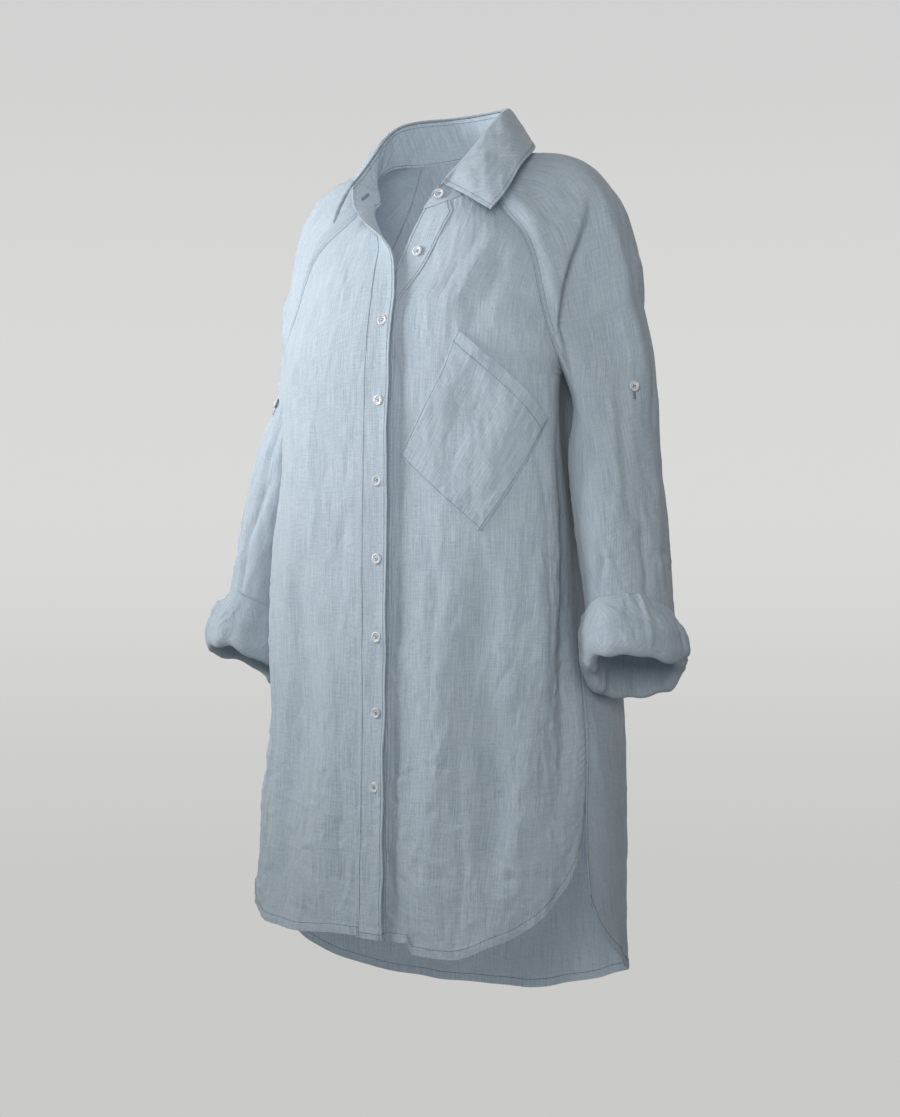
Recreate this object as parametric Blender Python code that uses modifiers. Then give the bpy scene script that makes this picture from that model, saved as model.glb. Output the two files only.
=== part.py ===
"""Long linen shirt with raglan sleeves and rolled cuffs, filled out as if worn.

The frame is in metres with +Z up. The shirt faces -Y and the wearer's left is at +X.
The origin lies between the side points of the neck seam, where a wearer's neck holds the shirt.
"""

import math

import bmesh
import bpy
import numpy as np
from mathutils import Matrix, Vector

# Cloth and sewing
WALL = 0.0014
DOUBLE_WALL = 0.0020
BAND_WIDTH = 0.032
LAP_DEPTH = 0.0052
SIDE_GAP = 0.0004
BAND_TOP_GAP = 0.0008
POCKET_LIFT = 0.0011

# Heights of the body
ARMPIT_Z = -0.240
HEM_START_Z = -0.600
SLIT_TOP_Z = -0.690
BAND_END_Z = -0.825

# Buttons
BUTTON_RADIUS = 0.00575
BUTTON_THICK = 0.0026
BUTTON_HOLE_RADIUS = 0.0008
BUTTON_HOLE_SPREAD = 0.0014
BUTTON_SIDES = 12
BUTTON_LIFT = 0.0004
FRONT_BUTTON_ACROSS = -0.0035
FRONT_BUTTON_HEIGHTS = (-0.181, -0.265, -0.349, -0.4305, -0.512, -0.591, -0.668)
OPEN_BUTTON_ACROSS = 0.0257
OPEN_BUTTON_HEIGHT = -0.106
# The button's outline by share of its radius and thickness, from the dished face over the rim.
BUTTON_PROFILE = (
    (0.0, 0.62),
    (0.58, 0.62),
    (0.72, 1.0),
    (0.90, 1.0),
    (1.0, 0.66),
    (0.80, 0.0),
    (0.0, 0.0),
)

# Grid steps
BODY_ROWS = 11
HEM_ROWS = 5
FRONT_COLUMNS = 12
BACK_COLUMNS = 24
SLEEVE_ROWS = 10
SLEEVE_OUTER = 12
SLEEVE_INNER = 8

LINEN = (0.46, 0.56, 0.63, 1.0)
PEARL = (0.86, 0.87, 0.87, 1.0)

# The body's level sections: the front, its corner, the side seam, the back's corner and the back.
# Columns: z, front y, corner x, corner y, side x, side y, blade x, blade y, back y.
BODY_SECTIONS = (
    (0.020, 0.000, 0.060, 0.005, 0.076, 0.025, 0.060, 0.054, 0.070),
    (-0.022, -0.040, 0.083, -0.036, 0.110, 0.000, 0.100, 0.070, 0.090),
    (-0.059, -0.088, 0.100, -0.056, 0.140, 0.005, 0.130, 0.085, 0.100),
    (-0.092, -0.101, 0.133, -0.063, 0.165, 0.005, 0.147, 0.090, 0.106),
    (-0.150, -0.126, 0.155, -0.067, 0.180, 0.002, 0.164, 0.086, 0.108),
    (-0.200, -0.137, 0.168, -0.068, 0.172, -0.002, 0.168, 0.075, 0.105),
    (-0.240, -0.140, 0.170, -0.064, 0.152, 0.002, 0.157, 0.070, 0.101),
    (-0.300, -0.142, 0.170, -0.062, 0.148, -0.002, 0.151, 0.068, 0.099),
    (-0.430, -0.144, 0.180, -0.062, 0.166, -0.014, 0.160, 0.068, 0.100),
    (-0.520, -0.145, 0.182, -0.066, 0.178, -0.028, 0.167, 0.067, 0.101),
    (-0.600, -0.146, 0.184, -0.074, 0.196, -0.044, 0.178, 0.062, 0.102),
    (-0.690, -0.149, 0.185, -0.090, 0.203, -0.056, 0.182, 0.058, 0.103),
    (-0.840, -0.154, 0.192, -0.099, 0.210, -0.054, 0.190, 0.052, 0.105),
    (-0.930, -0.157, 0.195, -0.101, 0.213, -0.052, 0.194, 0.050, 0.107),
)

# The raglan seams on the wearer's left, from the underarm to the neck.
# Columns: share, x, y, z.
FRONT_RAGLAN = (
    (0.00, 0.1535, 0.000, -0.240),
    (0.08, 0.163, -0.034, -0.236),
    (0.17, 0.172, -0.059, -0.222),
    (0.27, 0.1685, -0.069, -0.196),
    (0.45, 0.1550, -0.067, -0.150),
    (0.66, 0.1330, -0.063, -0.092),
    (0.83, 0.1010, -0.057, -0.059),
    (1.00, 0.083, -0.038, -0.024),
)
BACK_RAGLAN = (
    (0.00, 0.1535, 0.000, -0.240),
    (0.08, 0.160, 0.034, -0.236),
    (0.17, 0.168, 0.060, -0.218),
    (0.27, 0.171, 0.074, -0.190),
    (0.45, 0.165, 0.086, -0.140),
    (0.66, 0.143, 0.090, -0.080),
    (0.83, 0.105, 0.076, -0.030),
    (1.00, 0.068, 0.046, 0.013),
)
# The top line of the sleeve, from level with the armpit over the shoulder to the neck.
SHOULDER_LINE = (
    (0.00, 0.2265, 0.012, -0.205),
    (0.27, 0.2240, 0.012, -0.160),
    (0.45, 0.2180, 0.010, -0.112),
    (0.66, 0.2010, 0.006, -0.054),
    (0.83, 0.1640, 0.003, -0.0125),
    (0.92, 0.1280, 0.001, 0.0005),
    (1.00, 0.0850, 0.000, 0.004),
)

# The neck seam from the left front's end round the back to the right front's end.
NECK_SEAM = (
    ("left end", 0.022, -0.086, -0.063),
    ("left front", 0.060, -0.077, -0.050),
    ("left raglan", 0.083, -0.038, -0.024),
    ("left side", 0.085, 0.000, 0.004),
    ("left back raglan", 0.068, 0.046, 0.013),
    ("back", 0.000, 0.070, 0.020),
    ("right back raglan", -0.068, 0.046, 0.013),
    ("right side", -0.085, 0.000, 0.002),
    ("right raglan", -0.078, -0.032, -0.026),
    ("right roll", -0.052, -0.061, -0.046),
    ("right end", -0.056, -0.087, -0.064),
)
# The fold at the top of the collar, and the free edge of its fall, over the same eleven places.
COLLAR_FOLD = (
    ("left end", 0.043, -0.079, -0.034),
    ("left front", 0.060, -0.052, 0.000),
    ("left raglan", 0.066, -0.020, 0.032),
    ("left side", 0.065, 0.005, 0.050),
    ("left back raglan", 0.047, 0.042, 0.0615),
    ("back", 0.000, 0.058, 0.0625),
    ("right back raglan", -0.047, 0.042, 0.059),
    ("right side", -0.070, 0.008, 0.049),
    ("right raglan", -0.076, -0.022, 0.032),
    ("right roll", -0.074, -0.055, 0.000),
    ("right end", -0.071, -0.085, -0.028),
)
COLLAR_EDGE = (
    ("left end", 0.1145, -0.1000, -0.0690),
    ("left front", 0.1200, -0.0800, -0.0500),
    ("left raglan", 0.1190, -0.0450, -0.0160),
    ("left side", 0.1080, 0.0000, 0.0080),
    ("left back raglan", 0.0780, 0.0640, 0.0270),
    ("back", 0.0000, 0.0920, 0.0220),
    ("right back raglan", -0.0780, 0.0640, 0.0270),
    ("right side", -0.1060, 0.0020, 0.0060),
    ("right raglan", -0.1040, -0.0380, -0.0170),
    ("right roll", -0.0960, -0.0660, -0.0400),
    ("right end", -0.0900, -0.0930, -0.0680),
)

# How far each front edge lies past the centre front, to the wearer's other side.
# Columns: z, left edge, right edge.
FRONT_EDGES = (
    (-0.060, 0.021, 0.052),
    (-0.072, 0.018, 0.036),
    (-0.090, 0.012, 0.011),
    (-0.107, 0.007, -0.003),
    (-0.125, 0.001, -0.009),
    (-0.142, -0.007, -0.0125),
    (-0.161, -0.016, -0.015),
    (-0.600, -0.016, -0.015),
    (-0.900, -0.016, -0.019),
)

# Lower edges, by the share of the way from a front's edge to its side, and from the back's middle to
# its sides.
# Columns: share, z.
LEFT_HEM = (
    (0.00, -0.8410),
    (0.45, -0.8410),
    (0.55, -0.8330),
    (0.64, -0.8190),
    (0.76, -0.7960),
    (0.86, -0.7720),
    (0.93, -0.7450),
    (0.98, -0.7140),
    (1.00, -0.6900),
)
RIGHT_HEM = (
    (0.00, -0.8250),
    (0.20, -0.8225),
    (0.42, -0.8255),
    (0.60, -0.8215),
    (0.70, -0.8170),
    (0.78, -0.8020),
    (0.87, -0.7720),
    (0.94, -0.7430),
    (0.98, -0.7140),
    (1.00, -0.6900),
)
BACK_HEM = (
    (-1.00, -0.7850),
    (-0.96, -0.8150),
    (-0.88, -0.8380),
    (-0.75, -0.8720),
    (-0.60, -0.8950),
    (-0.39, -0.9090),
    (-0.20, -0.9140),
    (0.10, -0.9120),
    (0.18, -0.9090),
    (0.28, -0.9000),
    (0.40, -0.8910),
    (0.52, -0.8790),
    (0.72, -0.8600),
    (0.88, -0.8380),
    (0.96, -0.8150),
    (1.00, -0.7850),
)

# Level rings of the sleeve under the arm: centre, half depth, reaches and tilts in degrees.
# Columns: share, x, y, z, half depth, reach out, reach in, tilt front, tilt side.
SLEEVE_RINGS = (
    (0.00, 0.178, -0.004, -0.205, 0.080, 0.048, 0.030, 0.0, 2.0),
    (0.12, 0.190, 0.010, -0.255, 0.070, 0.046, 0.034, 2.0, 5.0),
    (0.30, 0.199, 0.009, -0.315, 0.066, 0.046, 0.040, 4.0, 8.0),
    (0.55, 0.212, -0.002, -0.390, 0.067, 0.046, 0.041, 9.0, 10.0),
    (0.80, 0.2265, -0.012, -0.465, 0.062, 0.045, 0.041, 15.0, 11.5),
    (1.00, 0.2400, -0.023, -0.526, 0.058, 0.044, 0.041, 19.0, 12.0),
)
# The rolled cuff as a closed loop of its wall: distance down the arm from the sleeve's end and out
# from the sleeve's surface, first up the sleeve and over the top edge, then round the mouth.
# Columns: down, out.
CUFF_PROFILE = (
    (0.0008, 0.0009),
    (-0.0200, 0.0009),
    (-0.0350, 0.0009),
    (-0.0385, 0.0024),
    (-0.0360, 0.0055),
    (-0.0250, 0.0094),
    (-0.0090, 0.0120),
    (0.0080, 0.0108),
    (0.0190, 0.0075),
    (0.0235, 0.0025),
    (0.0210, -0.0022),
    (0.0120, -0.0040),
    (0.0036, -0.0036),
    (0.0009, -0.0018),
)
SLEEVE_END_LENGTH = 0.32
SLEEVE_EASE_SHARE = 0.32
# The share of the raglan seams at which the sleeve's tube ends and its head begins.
ARMPIT_SHARE = 0.27
UNDERARM_GAP = 0.0005
# How far the front of the sleeve's head lies in from a round one.
HEAD_HOLLOW = 0.018
SEAM_TURN = 0.006

# Long soft folds: the line from top to foot, by distance across from the centre front, or from the
# back's middle, and by height, then the fold's half width and its depth, outwards above zero.
# Columns: top across, top z, foot across, foot z, width, depth.
LEFT_FOLDS = (
    (0.100, -0.40, 0.140, -0.72, 0.024, -0.0055),
    (0.062, -0.46, 0.074, -0.87, 0.026, 0.0045),
    (0.178, -0.44, 0.176, -0.66, 0.020, 0.0035),
    (0.120, -0.10, 0.092, -0.20, 0.020, -0.0035),
)
RIGHT_FOLDS = (
    (0.086, -0.40, 0.132, -0.87, 0.026, -0.0055),
    (0.160, -0.36, 0.172, -0.78, 0.024, 0.0040),
    (0.052, -0.50, 0.062, -0.86, 0.020, 0.0030),
    (0.110, -0.10, 0.150, -0.26, 0.022, -0.0035),
)
BACK_FOLDS = (
    (-0.080, -0.10, -0.115, -0.94, 0.028, -0.0065),
    (0.070, -0.12, 0.105, -0.96, 0.028, -0.0065),
    (-0.012, -0.26, -0.006, -0.98, 0.034, 0.0060),
    (0.172, -0.30, 0.186, -0.90, 0.028, 0.0045),
    (-0.178, -0.28, -0.190, -0.90, 0.028, 0.0045),
)

# The pocket's corners, by distance across from the centre front and height.
# Columns: corner, across, z.
POCKET_CORNERS = (
    ("opening top", 0.0828, -0.1948),
    ("opening foot", 0.1670, -0.2885),
    ("bottom outer", 0.0993, -0.4024),
    ("bottom inner", 0.0245, -0.3230),
)
POCKET_STEPS = 10
POCKET_GAPE = 0.004

# Where the buttons off the closed front lie: on the stand, by length from its left end and share of
# its height, and on each sleeve, by share of the way down and by turn from the front.
STAND_BUTTON_PLACE = 0.0118
STAND_BUTTON_RISE = 0.41
SLEEVE_BUTTON_SHARE = {"left": 0.170, "right": 0.165}
SLEEVE_BUTTON_TURN = {"left": 65.0, "right": 38.0}
CURVE_BUTTON_LIFT = 0.0010

COLLAR_STEPS = 30
STAND_HEIGHT = 0.040
STAND_ROWS = 3
STAND_SEAM_GAP = 0.0010
STAND_END_ROUND = 0.006
STAND_END_REACH = 0.016
# The fall's turn over the stand's top, out from the fold and up from it.
FALL_ROLL = ((-0.0022, 0.0024), (0.0006, 0.0030), (0.0034, 0.0014))
FALL_ROWS = 4
FALL_BULGE = 0.0020
FALL_CLEARANCE = 0.0040


def unit(vectors):
    """Vectors of length one."""
    return vectors / np.maximum(np.linalg.norm(vectors, axis=-1, keepdims=True), 1e-12)


def smoothstep(value):
    """0 to 1 with a soft start and end."""
    value = np.clip(value, 0.0, 1.0)
    return value * value * (3.0 - 2.0 * value)


def bend_rates(places, values):
    """Slopes of a smooth curve through values at increasing places, with free ends."""
    places = np.asarray(places, float)
    values = np.asarray(values, float)
    count = len(places)
    steps = np.diff(places)
    matrix = np.zeros((count, count))
    right = np.zeros((count,) + values.shape[1:])
    matrix[0, :2] = (2.0, 1.0)
    matrix[-1, -2:] = (1.0, 2.0)
    right[0] = 3.0 * (values[1] - values[0]) / steps[0]
    right[-1] = 3.0 * (values[-1] - values[-2]) / steps[-1]
    for i in range(1, count - 1):
        before, after = 1.0 / steps[i - 1], 1.0 / steps[i]
        matrix[i, i - 1 : i + 2] = (before, 2.0 * (before + after), after)
        right[i] = 3.0 * ((values[i] - values[i - 1]) * before**2 + (values[i + 1] - values[i]) * after**2)
    return np.linalg.solve(matrix, right)


def steady_rates(places, values):
    """Slopes of a smooth curve that never swings past the values it runs through."""
    rates = np.diff(values, axis=0) / np.diff(places)[:, None]
    same_way = rates[:-1] * rates[1:] > 0
    total = np.where(same_way, rates[:-1] + rates[1:], 1.0)
    middle = np.where(same_way, 2.0 * rates[:-1] * rates[1:] / total, 0.0)
    return np.concatenate([rates[:1], middle, rates[-1:]])


class Curve:
    """A smooth curve through rows of values, read at any place."""

    def __init__(self, places, values, steady=False):
        self.places = np.asarray(places, float)
        self.values = np.asarray(values, float)
        self.slopes = (steady_rates if steady else bend_rates)(self.places, self.values)

    def at(self, place):
        place = np.clip(np.asarray(place, float), self.places[0], self.places[-1])
        i = np.clip(np.searchsorted(self.places, place, side="right") - 1, 0, len(self.places) - 2)
        step = self.places[i + 1] - self.places[i]
        t = (place - self.places[i]) / step
        if self.values.ndim > 1:
            t, step = t[..., None], step[..., None]
        rise = self.values[i + 1] - self.values[i]
        start = self.slopes[i] * step
        end = self.slopes[i + 1] * step
        square = t**2 * (3 * rise - 2 * start - end)
        return self.values[i] + t * start + square + t**3 * (start + end - 2 * rise)


def table_curve(rows, steady=False):
    """A curve over the first column, giving the other columns."""
    ordered = sorted(rows)
    return Curve([row[0] for row in ordered], [row[1:] for row in ordered], steady)


def path_curve(rows):
    """A curve through named points, with the length along it as the place."""
    points = np.array([row[1:] for row in rows])
    lengths = np.concatenate([[0.0], np.cumsum(np.linalg.norm(np.diff(points, axis=0), axis=1))])
    return Curve(lengths, points), dict(zip([row[0] for row in rows], lengths))


BODY = table_curve(BODY_SECTIONS)
EDGES = table_curve(FRONT_EDGES, steady=True)
RAGLANS = {"front": table_curve(FRONT_RAGLAN), "back": table_curve(BACK_RAGLAN)}
SHOULDER = table_curve(SHOULDER_LINE)
SLEEVE = table_curve(SLEEVE_RINGS)
NECK, NECK_PLACES = path_curve(NECK_SEAM)
FOLD = Curve(NECK.places, [row[1:] for row in COLLAR_FOLD])
EDGE = Curve(NECK.places, [row[1:] for row in COLLAR_EDGE])


def section_knots(z):
    """The five knots of half a level section, their places along it and the curve's slopes there."""
    row = BODY.at(z)
    front_y, corner_x, corner_y, side_x, side_y, blade_x, blade_y, back_y = np.moveaxis(row, -1, 0)
    zero = np.zeros_like(front_y)
    knots = np.stack(
        [
            np.stack([zero, front_y], -1),
            np.stack([corner_x, corner_y], -1),
            np.stack([side_x, side_y], -1),
            np.stack([blade_x, blade_y], -1),
            np.stack([zero, back_y], -1),
        ],
        -2,
    )
    steps = np.linalg.norm(np.diff(knots, axis=-2), axis=-1)
    places = np.concatenate([np.zeros_like(steps[..., :1]), np.cumsum(steps, -1)], -1)
    count = knots.shape[-2]
    matrix = np.zeros(steps.shape[:-1] + (count, count))
    right = np.zeros_like(knots)
    matrix[..., 0, 0] = 1.0
    matrix[..., -1, -1] = 1.0
    right[..., 0, 0] = 1.0
    right[..., -1, 0] = -1.0
    for i in range(1, count - 1):
        before, after = 1.0 / steps[..., i - 1], 1.0 / steps[..., i]
        matrix[..., i, i - 1] = before
        matrix[..., i, i] = 2.0 * (before + after)
        matrix[..., i, i + 1] = after
        first = (knots[..., i, :] - knots[..., i - 1, :]) * before[..., None] ** 2
        second = (knots[..., i + 1, :] - knots[..., i, :]) * after[..., None] ** 2
        right[..., i, :] = 3.0 * (first + second)
    return knots, places, np.linalg.solve(matrix, right)


def half_girth(z):
    """Half the way round the body at a height, and the way from the centre front to the side seam."""
    places = section_knots(np.asarray(z, float))[1]
    return places[..., -1], places[..., 2]


def body_point(across, z):
    """The body's surface at a distance across from the centre front, to the wearer's left, and a height."""
    across, z = np.broadcast_arrays(np.asarray(across, float), np.asarray(z, float))
    knots, places, slopes = section_knots(z)
    way = np.minimum(np.abs(across), places[..., -1])
    i = np.clip((way[..., None] >= places).sum(-1) - 1, 0, places.shape[-1] - 2)

    def pick(values, index):
        return np.take_along_axis(values, index[..., None], -1)[..., 0]

    def pick_pair(values, index):
        return np.take_along_axis(values, index[..., None, None], -2)[..., 0, :]

    step = (pick(places, i + 1) - pick(places, i))[..., None]
    t = (way - pick(places, i))[..., None] / step
    low = pick_pair(knots, i)
    rise = pick_pair(knots, i + 1) - low
    start = pick_pair(slopes, i) * step
    end = pick_pair(slopes, i + 1) * step
    flat = low + t * start + t**2 * (3 * rise - 2 * start - end) + t**3 * (start + end - 2 * rise)
    return np.stack([np.where(across < 0, -1.0, 1.0) * flat[..., 0], flat[..., 1], z], -1)


def place_across(point):
    """The distance across at which the body's surface comes nearest to a point, at its height."""
    tries = np.linspace(0.0, float(half_girth(point[2])[0]), 600)
    gaps = np.linalg.norm(body_point(tries, point[2]) - np.asarray(point), axis=-1)
    return float(tries[gaps.argmin()])


def body_normal(across, z):
    """The outward unit normal of the body's surface."""
    step = 0.002
    along = body_point(across + step, z) - body_point(across - step, z)
    up = body_point(across, z + step) - body_point(across, z - step)
    return unit(np.cross(along, up))


def grid_normals(grid):
    """Outward unit normals of a grid that runs anticlockwise round the body, its rows downwards."""
    return unit(np.cross(np.gradient(grid, axis=0), np.gradient(grid, axis=1)))


def fold_depths(folds, across, z):
    """The depth of the long soft folds at a distance across and a height."""
    total = np.zeros(np.broadcast(across, z).shape)
    for top_across, top_z, foot_across, foot_z, width, depth in folds:
        along = np.clip((z - top_z) / (foot_z - top_z), 0.0, 1.0)
        line = top_across + along * (foot_across - top_across)
        ends = smoothstep((top_z + 0.03 - z) / 0.10) * smoothstep((z - foot_z + 0.04) / 0.10)
        total += depth * ends * np.exp(-(((across - line) / width) ** 2))
    return total


def body_heights(hem_z):
    """Heights of the rows under the armpit, from its level to a hem that varies along the row."""
    level = np.linspace(ARMPIT_Z, HEM_START_Z, BODY_ROWS)
    rows = [np.full_like(hem_z, z) for z in level]
    for step in range(1, HEM_ROWS + 1):
        rows.append(HEM_START_Z + (hem_z - HEM_START_Z) * step / HEM_ROWS)
    return np.array(rows)


def yoke_shares():
    """Shares of the raglan seam at which rows meet it, closer near the underarm."""
    return np.array([0.0, 0.05, 0.11, 0.18, 0.26, 0.36, 0.48, 0.60, 0.72, 0.83, 0.92, 1.0])[1:]


FRONTS = {
    "left": {
        "side": 1.0,
        "column": 0,
        "hem": LEFT_HEM,
        "folds": LEFT_FOLDS,
        "neck": ("left end", "left raglan"),
    },
    "right": {
        "side": -1.0,
        "column": 1,
        "hem": RIGHT_HEM,
        "folds": RIGHT_FOLDS,
        "neck": ("right end", "right raglan"),
    },
}
CENTRE_NECK_Z = NECK_SEAM[0][3]
BACK_NECK_Z = NECK_SEAM[5][3]


def mirrored(points, side):
    """Points of the wearer's left, or their mirror image for the right."""
    return points * np.array([side, 1.0, 1.0])


def front_lift(which, across, z, share):
    """How far a front's surface lies out from the body's: its folds, less the lap of the left front."""
    depth = fold_depths(FRONTS[which]["folds"], across, z) * smoothstep((1.0 - share) / 0.12)
    if which == "left":
        depth = depth - LAP_DEPTH * smoothstep((0.075 - across) / 0.050) * smoothstep((-0.085 - z) / 0.045)
    return depth


def front_surface(which, across, z, share, raise_by=0.0):
    """A front's outer surface, on the wearer's left whichever front it is."""
    lift = front_lift(which, across, z, share) + raise_by
    return body_point(across, z) + body_normal(across, z) * np.asarray(lift)[..., None]


def front_rows(which, shares):
    """A front's points, a row for each height from the neck seam to the hem, at shares of its width."""
    front = FRONTS[which]
    side = front["side"]
    shares = np.asarray(shares, float)
    start_at, end_at = (NECK_PLACES[name] for name in front["neck"])
    rows = []
    top_shift = None
    for share in yoke_shares()[::-1]:
        seam = RAGLANS["front"].at(share)
        seam_across = place_across(seam)
        centre_z = ARMPIT_Z + (CENTRE_NECK_Z - ARMPIT_Z) * share
        z = centre_z + (seam[2] - centre_z) * shares**2
        edge = EDGES.at(z)[..., front["column"]]
        across = edge + (seam_across - edge) * shares
        points = front_surface(which, across, z, shares)
        points = points + shares[:, None] ** 3 * (seam - body_point(seam_across, seam[2]))
        points = mirrored(points, side)
        if top_shift is None:
            top_shift = NECK.at(start_at + (end_at - start_at) * shares) - points
        rows.append(points + smoothstep((share - 0.45) / 0.55) * top_shift)
    hem = table_curve(front["hem"], steady=True).at(shares)[..., 0]
    for z in body_heights(hem):
        edge = EDGES.at(z)[..., front["column"]]
        across = edge + (half_girth(z)[1] - edge) * shares
        rows.append(mirrored(front_surface(which, across, z, shares), side))
    return np.array(rows)


def front_widths():
    """A front's width across, row by row, from the neck seam down to the hem."""
    widths = [NECK_PLACES["left raglan"] - NECK_PLACES["left end"]]
    for share in yoke_shares()[-2::-1]:
        seam = RAGLANS["front"].at(share)
        centre_z = ARMPIT_Z + (CENTRE_NECK_Z - ARMPIT_Z) * share
        widths.append(place_across(seam) - float(EDGES.at(centre_z)[0]))
    for z in np.linspace(ARMPIT_Z, HEM_START_Z, BODY_ROWS):
        widths.append(float(half_girth(z)[1]) + BAND_WIDTH / 2)
    widths += [float(half_girth(SLIT_TOP_Z)[1]) + BAND_WIDTH / 2] * HEM_ROWS
    return np.array(widths)


def along_rows(dense_shares, dense, wanted):
    """Points at wanted shares of each row, read from rows that were worked out more densely."""
    return np.array([Curve(dense_shares, row).at(want) for row, want in zip(dense, wanted)])


DENSE_SHARES = np.linspace(0.0, 1.0, 61)


def front_panel(which):
    """The grid of a front without its band."""
    dense = front_rows(which, DENSE_SHARES)
    widths = front_widths()[:, None]
    start = (BAND_WIDTH + SIDE_GAP) / widths
    steps = np.linspace(0.0, 1.0, FRONT_COLUMNS + 1)
    wanted = start + (1.0 - SIDE_GAP / widths - start) * steps
    grid = along_rows(DENSE_SHARES, dense, wanted)
    if which == "left":
        return grid
    return grid[:, ::-1]


def band_panel(which):
    """The grid of a front's band, the strip along its edge that carries buttons or buttonholes."""
    dense = front_rows(which, DENSE_SHARES)
    wanted = BAND_WIDTH / front_widths()[:, None] * np.linspace(0.0, 1.0, 3)
    grid = along_rows(DENSE_SHARES, dense, wanted)
    last = len(grid) - 1
    first = last - HEM_ROWS
    for i in range(first + 1, last + 1):
        share = (i - first) / HEM_ROWS
        target = HEM_START_Z + (BAND_END_Z - HEM_START_Z) * share
        grid[i, :, 2] = target
    grid[0] += unit(grid[1] - grid[0]) * BAND_TOP_GAP
    if which == "left":
        return grid
    return grid[:, ::-1]


def back_surface(across_back, z, share):
    """The back's outer surface at a distance across from its middle."""
    depth = fold_depths(BACK_FOLDS, across_back, z) * smoothstep((1.0 - np.abs(share)) / 0.12)
    across = (half_girth(z)[0] - np.abs(across_back)) * np.where(across_back < 0, -1.0, 1.0)
    return body_point(across, z) + body_normal(across, z) * depth[..., None]


def back_rows(shares):
    """The back's points, row by row from the neck seam to the hem, from the right side to the left."""
    shares = np.asarray(shares, float)
    reach = np.abs(shares)
    sign = np.where(shares < 0, -1.0, 1.0)
    start_at, end_at = NECK_PLACES["right back raglan"], NECK_PLACES["left back raglan"]
    rows = []
    top_shift = None
    for share in yoke_shares()[::-1]:
        seam = RAGLANS["back"].at(share)
        seam_across = place_across(seam)
        centre_z = ARMPIT_Z + (BACK_NECK_Z - ARMPIT_Z) * share
        z = centre_z + (seam[2] - centre_z) * reach**2
        width = half_girth(z)[0] - seam_across
        points = back_surface(width * shares, z, shares)
        gap = (seam - body_point(seam_across, seam[2])) * reach[:, None] ** 3
        points = points + gap * np.stack([sign, np.ones_like(sign), np.ones_like(sign)], -1)
        if top_shift is None:
            top_shift = NECK.at(start_at + (end_at - start_at) * (shares + 1.0) / 2.0) - points
        rows.append(points + smoothstep((share - 0.45) / 0.55) * top_shift)
    hem = table_curve(BACK_HEM, steady=True).at(shares)[..., 0]
    for z in body_heights(hem):
        half, side_across = half_girth(z)
        rows.append(back_surface((half - side_across) * shares, z, shares))
    return np.array(rows)


def back_panel():
    """The grid of the back."""
    dense = back_rows(DENSE_SHARES * 2.0 - 1.0)
    half_widths = np.linalg.norm(np.diff(dense, axis=1), axis=-1).sum(1)[:, None] / 2.0
    wanted = np.linspace(-1.0, 1.0, BACK_COLUMNS + 1) * (1.0 - SIDE_GAP / half_widths)
    return along_rows(DENSE_SHARES * 2.0 - 1.0, dense, wanted)[:, ::-1]


def half_ring(middle, front, crest, turns):
    """Points of half an ellipse from the front over its crest to the back."""
    return middle + np.cos(turns)[:, None] * front + np.sin(turns)[:, None] * crest


def ring_axes(tilt_front, tilt_side):
    """The front, outward and downward directions of a tilted sleeve ring."""
    front_tilt, side_tilt = math.radians(tilt_front), math.radians(tilt_side)
    front = np.array([0.0, -math.cos(front_tilt), math.sin(front_tilt)])
    outward = np.array([math.cos(side_tilt), 0.0, math.sin(side_tilt)])
    down = np.cross(outward, front)
    return front, outward, unit(down)


def sleeve_ring(share, turns):
    """A ring of the sleeve's tube. Turns run from the front over the outside to the back and on inside."""
    x, y, z, half_depth, reach_out, reach_in, tilt_front, tilt_side = SLEEVE.at(share)
    front, outward, _ = ring_axes(tilt_front, tilt_side)
    reach = np.where(np.sin(turns) > 0, reach_out, reach_in) * np.sin(turns)
    return np.array([x, y, z]) + half_depth * np.cos(turns)[:, None] * front + reach[:, None] * outward


def sleeve_arc(share, turns):
    """An arc of the sleeve's head between the front and the back raglan seams."""
    front = RAGLANS["front"].at(share)
    back = RAGLANS["back"].at(share)
    crest = SHOULDER.at(share)
    middle = (front + back) / 2.0
    ring = half_ring(middle, (front - back) / 2.0, crest - middle, turns)
    hollow = np.where(turns < math.pi / 2.0, HEAD_HOLLOW * np.sin(2.0 * turns) ** 2, 0.0)
    return ring - hollow[:, None] * unit(front + crest - 2.0 * middle)


def armpit_ring(turns):
    """The ring where the sleeve's tube meets its head: the arc outside and the underarm seam inside."""
    inside = np.clip((turns - math.pi) / math.pi, 0.0, 1.0)
    share = ARMPIT_SHARE * np.abs(1.0 - 2.0 * inside)
    seam = np.where((inside < 0.5)[:, None], RAGLANS["back"].at(share), RAGLANS["front"].at(share))
    seam = seam + np.array([UNDERARM_GAP, 0.0, 0.0])
    return np.where((turns <= math.pi)[:, None], sleeve_arc(ARMPIT_SHARE, turns), seam)


def tube_ring(share, turns):
    """A ring of the sleeve under the arm, eased into the armpit at its top."""
    ease = 1.0 - smoothstep(share / SLEEVE_EASE_SHARE)
    return sleeve_ring(share, turns) + ease * (armpit_ring(turns) - sleeve_ring(0.0, turns))


def outer_turns():
    """The turns of the sleeve's outer half, clear of the raglan seams by the seam's gap."""
    return np.linspace(SEAM_TURN, math.pi - SEAM_TURN, SLEEVE_OUTER + 1)


def tube_turns():
    """The turns of the whole sleeve's ring: its outer half and its inner half."""
    inner = np.linspace(math.pi, 2.0 * math.pi, SLEEVE_INNER + 1)[1:-1]
    return np.concatenate([outer_turns(), inner])


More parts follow.
